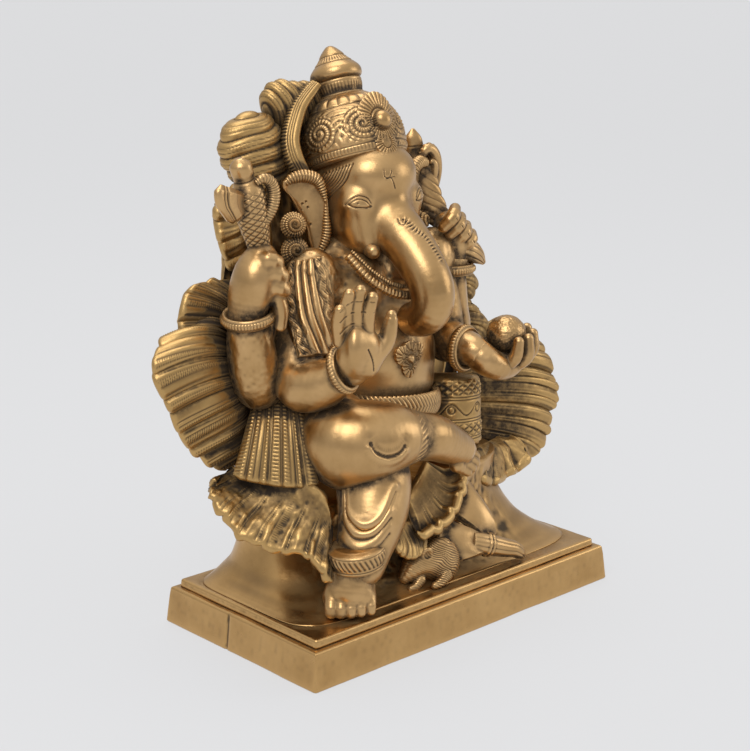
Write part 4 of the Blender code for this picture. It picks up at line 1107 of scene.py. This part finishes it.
def noose():
    def strands(s, angle):
        twist = np.abs(np.sin(math.pi * (s / 7.0 + 1.7 * np.cos(angle)))) ** 0.5
        return 0.9 * twist * np.clip((43 - s) / 4, 0, 1) - 0.5 * np.exp(-((s - 50) / 0.5) ** 2)
    stem = tube(near("noose", (2.8, -12, -26.7, 4.6), (0.8, -6, -18.7, 6.6), (-1.7, -1, -10.7, 8.4),
            (-4, 2, -0.7, 9.4), (-5.4, 4, 8.3, 8.6), (-6.2, 5, 15.3, 6.2), (-6.5, 5, 19.3, 5.6),
            (-6.7, 5, 23.3, 4.4), (-6.9, 5, 27.8, 0.8)), 0.4, strands, (0.73, -0.68, 0), 0.5)
    arch = tube(near("noose", (-6.2, -1, 12.3, 2.0), (-3.7, -2, 16.3, 2.8), (-0.2, -2, 16.3, 3.4),
            (3.3, -2, 12.3, 3.6), (5.1, -1.5, 5.3, 3.5), (4.8, -1, -2.2, 3.0), (2.8, -1, -9.7, 2.0)), 0.4,
            lambda s, a: 0.3 * np.cos(math.tau * s / 1.8) * (np.cos(a) < 0.2)
            - 0.35 * np.exp(-((a - 1.2) / 0.2) ** 2), (0, -1, 0))
    inner = tube(near("noose", (-1.2, -3, 10.3, 1.6), (1.3, -3.5, 8.3, 2.4), (1.8, -3, 2.3, 2.4),
            (0.3, -3, -3.7, 1.4)), 0.4)
    cast("noose_cast", join([stem, arch, inner]), "noose")
    tail = tube(near("noose_tail", (-10.2, 0.3, 4.5, 6.4), (-4.2, -0.7, 2, 6.4), (1.8, -1.3, -1.5, 4.6),
            (7.8, -1.7, -6.5, 0.8)), 0.35, lambda s, a: 0.6 * np.abs(np.sin(a * 6)) ** 0.6, (0, 0, 1))
    cast("noose_tail_cast", tail, "noose_tail")


# ---------------------------------------------------------------- legs, mount and offering

def legs():
    clay = Clay(near("leg_folded", (-36.8, -49.1, -34), (57.2, 44.9, 32)), 0.6)
    clay.limb(near("leg_folded", (13.2, 28.9, 3, 18), (3.2, 12.9, 2, 21), (-1.3, -0.1, -0.5, 22.5),
            (4.7, -8.1, -1.5, 22.5), (16.7, -13.6, 0, 18.6), (26.2, -16.1, -0.5, 14.8),
            (35.2, -17.1, -2, 13)), soft=4)
    clay.ball(near("leg_folded", (1.2, -1.1, -6)), (19, 17, 20), soft=8)
    thigh = clay.skin(4)
    drapery(thigh)
    cast("folded_leg_cast", thigh, "leg_folded")
    clay = Clay(near("foot_folded", (-36.3, -20.9, -25.4), (33.7, 21.1, 26.6)), 0.42)
    clay.limb(near("foot_folded", (-32.3, 1.1, 9.1, 13), (-18.3, 0.1, 6.1, 12.6), (-6.3, 0.6, 0.1, 11),
            (3.2, 1.1, -4.9, 9.4)), soft=2)
    toes = ((15.2, 3.6, -8.4, 3.5), (15.7, 0.6, -11.9, 3.0), (13.7, -1.4, -14.6, 2.8),
            (10.2, -2.4, -16.6, 2.7), (6.2, -2.9, -17.9, 2.6))
    for i, (x, y, z, r) in enumerate(toes):
        clay.limb(near("foot_folded", (2.7 - i, 1.6 - i, -5.4 - i * 1.8, r + 1.6),
                (x - 4, y, z + 2.6, r + 0.3), (x, y, z, r)), soft=0.8)
    cast("folded_foot_cast", clay.skin(2), "foot_folded")

    def hatch(s, angle):
        lines = np.exp(-((s - 3.2) / 0.3) ** 2) + np.exp(-((s - 10.4) / 0.3) ** 2)
        return 0.25 * np.cos(angle * 30 + s * 1.3) * np.clip(1 - np.abs(s - 6.8) / 3.2, 0,
                1) ** 0.3 - 0.4 * lines
    cuff = turned([(12, -5), (14.6, -4.6), (15.0, -2), (14.6, 2), (13.8, 4.6), (12, 5)], 0.4, hatch)
    turn = np.array(facing((-0.97, -0.1, 0.18)).to_matrix())
    cuff.points = cuff.points @ turn.T + near("cuff_folded", (-13, 2, 1))[0]
    cast("ankle_cuff_cast", cuff, "cuff_folded")
    clay = Clay(near("leg_lowered", (-43.8, -39.8, -35.8), (40.2, 42.2, 40.2)), 0.6)
    clay.limb(near("leg_lowered", (14.2, 12.2, 24.2, 18), (9.7, 3.2, 14.2, 19.5), (5.2, -1.8, 4.2, 19),
            (0.2, -5.8, -3.8, 17.2), (-6.3, -8.3, -13.8, 15), (-11.8, -9.8, -22.8, 13.6)), soft=4)
    shin = clay.skin(4)
    shin_folds(shin)
    cast("lowered_leg_cast", shin, "leg_lowered")

    def hatched(s, angle):
        band = 0.35 * np.cos(angle * 34 + s) * np.clip(1 - np.abs(s - 9.5) / 3.4, 0, 1) ** 0.3
        lines = 0.5 * np.exp(-((s - 3.5) / 0.3) ** 2) + 0.5 * np.exp(-((s - 5.2) / 0.3) ** 2)
        return band - lines - 0.4 * np.exp(-((s - 13.2) / 0.35) ** 2)
    hem = turned([(10.5, -5), (13.4, -4.8), (14.2, -3.6), (14.1, -1.6), (14.8, 0.4), (15.0, 3), (14.7, 5.6),
            (11, 7.4)], 0.4, hatched)
    low, high = box("hem_lowered")
    hem.points = hem.points @ turn_matrix((0, -8, 0)).T + (low + high) / 2 + (1.2, 1.0, 4.6)
    cast("hem_cast", hem, "hem_lowered")
    foot()


def drapery(skin):
    """A crease of the cloth on the folded leg: a deep hook behind the knee, with a raised rim below it and a
    soft hollow above.
    """
    hook = near("leg_folded", (-10.3, -31.1, 6), (-6.8, -31.1, 1), (1.2, -31.1, -3), (9.2, -31.1, -3),
            (13.7, -31.1, 0))
    skin.engrave([(hook - (0, 0, 2.4), 2.6, 1.0, 0), (hook, 1.0, -1.7, 0),
            (hook + (0, 0, 3.4), 2.6, -0.6, 0)])


def shin_folds(skin):
    """Hanging folds of the cloth on the lowered leg, which swing from a raised seam at its left."""
    swags = (((-27.3, -15.8, 21.2), (-26.3, -15.8, 6.2), (-15.3, -15.8, -3.3), (-2.8, -15.8, -0.8),
            (7.2, -15.8, 12.2)), ((-29.3, -15.8, 2.7), (-21.8, -15.8, -6.3), (-8.3, -15.8, -8.3),
            (4.2, -15.8, -0.8)), ((-30.8, -15.8, -6.8), (-19.8, -15.8, -14.3), (-6.3, -15.8, -14.8),
            (3.2, -15.8, -8.8)))
    for depth, swag in zip((1.6, 1.0, 0.7), swags):
        points = near("leg_lowered", *swag)
        skin.engrave([(points, 1.1, -0.8 * depth, 0), (points + (0, 0, 3.0), 2.4, 0.9 * depth, 0)])
    seam = near("leg_lowered", (-33.3, -13.8, 20.7), (-34.3, -13.8, 9.2), (-33.3, -13.8, -4.8),
            (-33.8, -13.8, -14.8))
    skin.engrave([(seam, 1.0, 1.1, 0), (seam + (1.6, 0, 0), 0.6, -0.6, 0)])


def foot():
    """A square foot that points out of the corner, its five toes side by side."""
    clay = Clay(near("foot_lowered", (-30.5, -29.9, -20), (25.5, 28.1, 22)), 0.36)
    clay.limb(near("foot_lowered", (3.5, 3.1, 12, 10.5), (0, 2.6, 4, 10.8), (-2.5, 1.1, -2, 9.5),
            (-3.5, 0.1, -7, 7)), soft=3)
    for side in (-1, 1):
        clay.ball(near("foot_lowered", (-2.5 + side * 5, 1.6 - side * 5, -6)), (6.5, 6.5, 7), soft=4)
    for k in range(5):
        bulge = 2.4 - 0.45 * (k - 1.5) ** 2
        tip = np.array((-13.1 + 3.8 * k - 0.7 * bulge, 3.1 - 3.2 * k - 0.7 * bulge, -11.4))
        wide = 3.1 - 0.17 * k
        clay.limb(near("foot_lowered", (*(tip + (6, 6.5, 10)), wide), (*(tip + (3, 3.2, 6.5)), wide + 0.3),
                       (*(tip + (0.6, 0.6, 3)), wide + 0.4), (*tip, wide + 0.2)), soft=1.0)
    cast("lowered_foot_cast", clay.skin(1), "foot_lowered", shelter=0.5)


def mouse():
    clay = Clay(near("mouse", (-29.1, -20.3, -13.1), (28.9, 17.7, 24.9)), 0.38)
    clay.ball(near("mouse", (1.9, -0.8, 3.9)), (12.5, 8.5, 12), (0, 0, -14), soft=3)
    clay.ball(near("mouse", (7.4, -2.3, 0.4)), (8, 7, 9), soft=3)
    clay.limb(near("mouse", (-5.1, -0.3, 4.4, 8.0), (-10.6, 1.2, 3.9, 7.4), (-15.1, 1.7, 0.9, 5.6),
            (-18.6, 2.2, -1.9, 3.6)), soft=2.5)
    clay.ball(near("mouse", (-9.1, -4.3, 10.4)), (4, 1.8, 4.4), (20, 0, -20), soft=0.8)
    clay.ball(near("mouse", (-9.5, -6.2, 10.7)), (2.4, 0.9, 2.8), (20, 0, -20), soft=0.4, cut=True)
    clay.ball(near("mouse", (-15.7, -2.3, 3.5)), (1.2, 1.0, 1.2), soft=0.3)
    clay.limb(near("mouse", (-12.1, -2.8, -3.6, 3.2), (-16.1, -3.3, -6.3, 2.4), (-19.1, -2.8, -6.9, 2.0)),
            soft=0.8)
    clay.limb(near("mouse", (1.9, -7.8, -3.6, 3.8), (-3.1, -8.8, -6.1, 2.5), (-7.1, -8.8, -6.7, 2.1)),
            soft=0.8)
    skin = clay.skin(1)

    def fur(p):
        strokes = np.cos((p[:, 0] * 0.8 + p[:, 2] * 1.3 + 1.5 * noise(p, 5.0)) * 3.4)
        return 0.24 * strokes * np.clip((p[:, 0] + 19) / 6, 0.25, 1)
    skin.push(fur)
    cast("mouse_cast", skin, "mouse", shelter=0.6)


def leaves():
    """A bundle of grooved leaves tied near the tip: two big leaves fan up from a double band."""
    def veins(a, t, width, depth):
        centre = np.exp(-((a - 0.5) / 0.03) ** 2) * np.clip((t - 0.1) * 8, 0, 1)
        folds = np.abs(np.sin(math.pi * a * 4)) ** 0.5
        return 1.3 * (folds - 0.5) - 0.5 * centre - 0.35 * np.exp(-((np.abs(a - 0.5) - 0.38) / 0.02) ** 2)
    big = sheet(near("leaf_bundle", (2.3, -5, -3.4), (-6.7, -7, -8.4)),
            near("leaf_bundle", (1.3, 8, 11.6), (-2.7, 11, 20.6), (-9.7, 11, 21.1), (-15.7, 9, 14.6),
            (-18.7, 5, 6.6)), (0, -5, 1), 5, 0.42, relief=veins)
    low = sheet(near("leaf_bundle", (-4.7, -6, -6.4), (-8.7, -9, -12.4)),
            near("leaf_bundle", (-20.7, 3, 5.6), (-30.7, 1, 4.6), (-36.7, -1, -0.4), (-33.7, -5, -7.4),
            (-24.7, -8, -12.4)), (0, -4, 2), 5, 0.42, relief=veins)
    stalk = tube(near("leaf_bundle", (-16.7, -5, -4.4, 5.4), (-10.7, -7.5, -6.4, 5.8),
            (-3.7, -9.5, -8.9, 5.4), (3.3, -11.5, -11.4, 4.8), (9.3, -13, -13.4, 4.2),
            (13.3, -14, -16.4, 3.2), (15.8, -14.8, -19, 1.2)), 0.4, lambda s,
            a: 0.5 * np.abs(np.sin(a * 4)) ** 0.7 + 0.9 * (np.exp(-((s - 9.5) / 0.7) ** 2)
            + np.exp(-((s - 11.8) / 0.7) ** 2)), (0, 0, 1))
    cast("leaves_cast", join([big, low, stalk]), "leaf_bundle")


def figure():
    head()
    crown()
    body()
    arms()
    shawl()
    raised_hand()
    bowl_hand()
    fists()
    axe()
    noose()
    legs()
    mouse()
    leaves()


# ---------------------------------------------------------------- wear, patina, painted shade and materials

def crowding(casts):
    """How much metal surrounds each spot: point areas on coarse cells, blurred. It is the mask for painted shade
    in crowded places.
    """
    low = np.min([c["skin"].points.min(0) for c in casts], 0) - 20
    high = np.max([c["skin"].points.max(0) for c in casts], 0) + 20
    cell = 2.0
    shape = np.ceil((high - low) / cell).astype(int)
    total = np.zeros(shape.prod())
    for c in casts:
        spots = np.floor((c["skin"].points - low) / cell).astype(int)
        flat = np.ravel_multi_index(spots.T, shape)
        total += np.bincount(flat, c["skin"].areas(), shape.prod())
    total = total.reshape(shape) / cell ** 3
    sigma = 3.2 / cell
    reach = np.arange(-6, 7)
    kernel = np.exp(-reach ** 2 / (2 * sigma ** 2))
    kernel /= kernel.sum()
    for axis in range(3):
        total = np.apply_along_axis(np.convolve, axis, total, kernel, "same")

    def sample(points):
        q = (points - low) / cell - 0.5
        whole = np.clip(np.floor(q).astype(int), 0, shape - 2)
        f = q - whole
        out = 0
        for corner in np.ndindex(2, 2, 2):
            i, j, k = (whole + corner).T
            out = out + np.prod(np.where(corner, f, 1 - f), axis=1) * total[i, j, k]
        return out
    return sample


def measure_wear_and_shade(item, crowd):
    """Grooves, painted shade of crowded places (standing partly for patina there) and worn edges, each from 0 to
    1.
    """
    skin = item["skin"]
    normals = skin.normals()
    fine = np.einsum("ij,ij->i", skin.relaxed(5) - skin.points, normals)
    broad = np.einsum("ij,ij->i", skin.relaxed(40) - skin.points, normals)
    groove = np.clip(fine / 0.10, 0, 1) * 0.75 + np.clip(broad / 0.55, 0, 1) * 0.6
    edge = np.clip(-fine / 0.10, 0, 1) * 0.6 + np.clip(-broad / 0.9, 0, 1) * 0.5
    # Painted shade: spots with much metal just outside them are darkened as if shade fell there, in corners and
    # between parts; partly it stands for patina.
    crowd_shade_and_patina = np.clip((crowd(skin.points + 4.5 * normals) - 0.062) / 0.085, 0, 1)
    crowd_shade_and_patina = crowd_shade_and_patina * item["shelter"]
    # Extra painted shade by place, where it is given.
    if item["painted_shade"]:
        crowd_shade_and_patina = np.maximum(crowd_shade_and_patina, item["painted_shade"](skin.points))
    return {"groove": np.clip(groove, 0, 1), "edge": np.clip(edge, 0, 1), "crowd_shade_and_patina": crowd_shade_and_patina}


def node(tree, kind, **values):
    made = tree.nodes.new(kind)
    for name, value in values.items():
        setattr(made, name, value)
    return made


def mix_colour(tree, factor, first, second):
    mixer = node(tree, "ShaderNodeMix", data_type="RGBA")
    for socket, value in ((0, factor), (6, first), (7, second)):
        if isinstance(value, bpy.types.NodeSocket):
            tree.links.new(value, mixer.inputs[socket])
        else:
            mixer.inputs[socket].default_value = value
    return mixer.outputs[2]


def math_node(tree, operation, *values, clamp=False):
    made = node(tree, "ShaderNodeMath", operation=operation, use_clamp=clamp)
    for socket, value in zip(made.inputs, values):
        if isinstance(value, bpy.types.NodeSocket):
            tree.links.new(value, socket)
        else:
            socket.default_value = value
    return made.outputs[0]


def noise_node(tree, scale, detail=3.0, roughness=0.55):
    where = node(tree, "ShaderNodeTexCoord")
    made = node(tree, "ShaderNodeTexNoise")
    made.inputs["Scale"].default_value = scale
    made.inputs["Detail"].default_value = detail
    made.inputs["Roughness"].default_value = roughness
    tree.links.new(where.outputs["Object"], made.inputs["Vector"])
    return made.outputs["Fac"]


def brass(name, bright, mid, dark, age, gloss):
    """Cast brass: bright where it is rubbed, browner in the hollows, near black in cuts (patina) and with
    painted shade in crowded places, which partly stands for patina there.
    """
    material = bpy.data.materials.new(name)
    material.use_nodes = True
    tree = material.node_tree
    shader = tree.nodes["Principled BSDF"]
    groove, crowd_shade_and_patina, edge = (node(tree, "ShaderNodeAttribute", attribute_name=key).outputs["Fac"]
                           for key in ("groove", "crowd_shade_and_patina", "edge"))
    cloud = noise_node(tree, 45, 4)
    mottle = noise_node(tree, 260, 5, 0.65)
    grain = noise_node(tree, 1400, 2)
    blotch = math_node(tree, "MULTIPLY_ADD", cloud, 1.6, -0.8 + age, clamp=True)
    tone = mix_colour(tree, math_node(tree, "MULTIPLY_ADD", cloud, 2.2, -0.6, clamp=True), mid, bright)
    rubbed = mix_colour(tree, math_node(tree, "MULTIPLY", edge, 0.8), tone, bright)
    speck = math_node(tree, "MULTIPLY_ADD", mottle, 3.0, -1.0, clamp=True)
    # Painted shade from the crowding mask, partly patina, made patchy by specks and blotches and lessened on
    # rubbed edges.
    heavy = math_node(tree, "MULTIPLY", crowd_shade_and_patina, 1 + 0.7 * age)
    shelter = math_node(tree, "MULTIPLY", heavy, math_node(tree, "MULTIPLY_ADD", speck, 0.75, 0.45),
            clamp=True)
    shelter = math_node(tree, "MULTIPLY_ADD", blotch, 0.35 * age, shelter, clamp=True)
    shelter = math_node(tree, "SUBTRACT", shelter, math_node(tree, "MULTIPLY", edge, 0.55), clamp=True)
    # The painted shade joined with the patina in grooves; it darkens the colour, lowers the metal and roughens
    # the surface.
    patina_and_painted_shade = math_node(tree, "MAXIMUM", shelter, math_node(tree, "MULTIPLY", groove, 0.92), clamp=True)
    colour = mix_colour(tree, patina_and_painted_shade, rubbed, dark)
    tree.links.new(colour, shader.inputs["Base Color"])
    tree.links.new(math_node(tree, "MULTIPLY_ADD", patina_and_painted_shade, -0.55, 1.0), shader.inputs["Metallic"])
    rough = math_node(tree, "MULTIPLY_ADD", mottle, 0.16, gloss - 0.08)
    tree.links.new(math_node(tree, "MULTIPLY_ADD", patina_and_painted_shade, 0.4, rough, clamp=True), shader.inputs["Roughness"])
    bump = node(tree, "ShaderNodeBump")
    bump.inputs["Strength"].default_value = 0.25 + 0.35 * age
    bump.inputs["Distance"].default_value = 0.0004
    height = math_node(tree, "MULTIPLY_ADD", mottle, 1.0, math_node(tree, "MULTIPLY", grain, 0.25))
    tree.links.new(height, bump.inputs["Height"])
    tree.links.new(bump.outputs["Normal"], shader.inputs["Normal"])
    return material


def finish_casts(materials):
    crowd = crowding(CASTS)
    for item in CASTS:
        skin = item["skin"]
        mesh = bpy.data.meshes.new(item["name"])
        faces = skin.quads.tolist() + skin.tris.tolist()
        mesh.from_pydata(skin.points * MM, [], faces)
        for key, values in measure_wear_and_shade(item, crowd).items():
            layer = mesh.attributes.new(key, "FLOAT", "POINT")
            layer.data.foreach_set("value", values.astype(np.float32))
        mesh.shade_smooth()
        mesh.materials.append(materials[item["slot"]])
        piece = bpy.data.objects.new(item["name"], mesh)
        bpy.context.scene.collection.objects.link(piece)
        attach(piece, "root")
        if item["nodes"]:
            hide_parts(*item["nodes"])


# ---------------------------------------------------------------- studio

def soft_box(name, place, size, power, target):
    light = bpy.data.lights.new(name, "AREA")
    light.shape = "DISK"
    light.size = size
    light.energy = power
    item = bpy.data.objects.new(name, light)
    item.location = place
    item.rotation_euler = facing(Vector(target) - Vector(place))
    bpy.context.scene.collection.objects.link(item)


def studio():
    low, high = np.array(CAD_BOX[0]), np.array(CAD_BOX[1])
    tall = high[2] - low[2]
    foot = Vector(((low[0] + high[0]) / 2, (low[1] + high[1]) / 2, low[2]))
    bpy.ops.mesh.primitive_plane_add(size=60, location=foot)
    floor = bpy.context.object
    floor.name = "studio_floor"
    paper = bpy.data.materials.new("paper")
    paper.use_nodes = True
    shader = paper.node_tree.nodes["Principled BSDF"]
    shader.inputs["Base Color"].default_value = (0.15, 0.15, 0.152, 1)
    shader.inputs["Roughness"].default_value = 0.9
    shader.inputs["Specular IOR Level"].default_value = 0.1
    shader.inputs["Emission Color"].default_value = (0.98, 0.985, 1.0, 1)
    shader.inputs["Emission Strength"].default_value = 0.60
    floor.data.materials.append(paper)
    world = bpy.data.worlds.new("studio")
    bpy.context.scene.world = world
    world.use_nodes = True
    tree = world.node_tree
    where = node(tree, "ShaderNodeTexCoord")
    parts = node(tree, "ShaderNodeSeparateXYZ")
    ramp = node(tree, "ShaderNodeValToRGB")
    tree.links.new(where.outputs["Generated"], parts.inputs[0])
    tree.links.new(parts.outputs[2], ramp.inputs[0])
    ramp.color_ramp.elements[0].color = (0.50, 0.50, 0.52, 1)
    ramp.color_ramp.elements[1].color = (1.0, 1.0, 1.0, 1)
    ramp.color_ramp.elements[0].position = 0.05
    ramp.color_ramp.elements[1].position = 0.9
    back = tree.nodes["Background"]
    tree.links.new(ramp.outputs[0], back.inputs[0])
    back.inputs[1].default_value = 0.85
    target = foot + Vector((0, 0, tall * 0.5))
    soft_box("key", target + Vector((-0.75, -0.45, 0.95)), 0.8, 5.5, target)
    soft_box("fill", target + Vector((0.95, -0.75, 0.35)), 0.7, 1.8, target)
    soft_box("top", target + Vector((0.1, 0.3, 1.3)), 1.0, 5.0, target)
    camera = bpy.data.cameras.new("camera")
    camera.sensor_width = 36
    camera.lens = 76.8
    camera.clip_start = 0.01
    camera.clip_end = 100
    eye = bpy.data.objects.new("camera", camera)
    level = math.cos(VIEW_ELEVATION)
    back_to_eye = Vector((math.sin(VIEW_AZIMUTH) * level, -math.cos(VIEW_AZIMUTH) * level,
                          math.sin(VIEW_ELEVATION)))
    aim = foot + Vector((-0.1077, -0.0667, 0.4598)) * tall
    eye.location = aim + back_to_eye * VIEW_DISTANCE * MM
    eye.rotation_euler = facing(-back_to_eye)
    bpy.context.scene.collection.objects.link(eye)
    bpy.context.scene.camera = eye
    bpy.context.scene.view_settings.view_transform = "Standard"


# ---------------------------------------------------------------- all of it

plinth()
pedestal()
throne()
figure()
METALS = {                                 # rubbed, middle and dark colours (the dark one for patina and painted shade), age, roughness
    "satin_brass": ((0.65, 0.415, 0.19, 1), (0.42, 0.25, 0.10, 1), (0.040, 0.026, 0.015, 1), 0.20, 0.31),
    "aged_brass": ((0.58, 0.37, 0.145, 1), (0.33, 0.20, 0.078, 1), (0.045, 0.030, 0.018, 1), 0.60, 0.38),
    "plinth_brass": ((0.60, 0.37, 0.15, 1), (0.45, 0.265, 0.10, 1), (0.035, 0.024, 0.012, 1), 0.20, 0.30),
}
finish_casts({name: brass(name, *look) for name, look in METALS.items()})
studio()
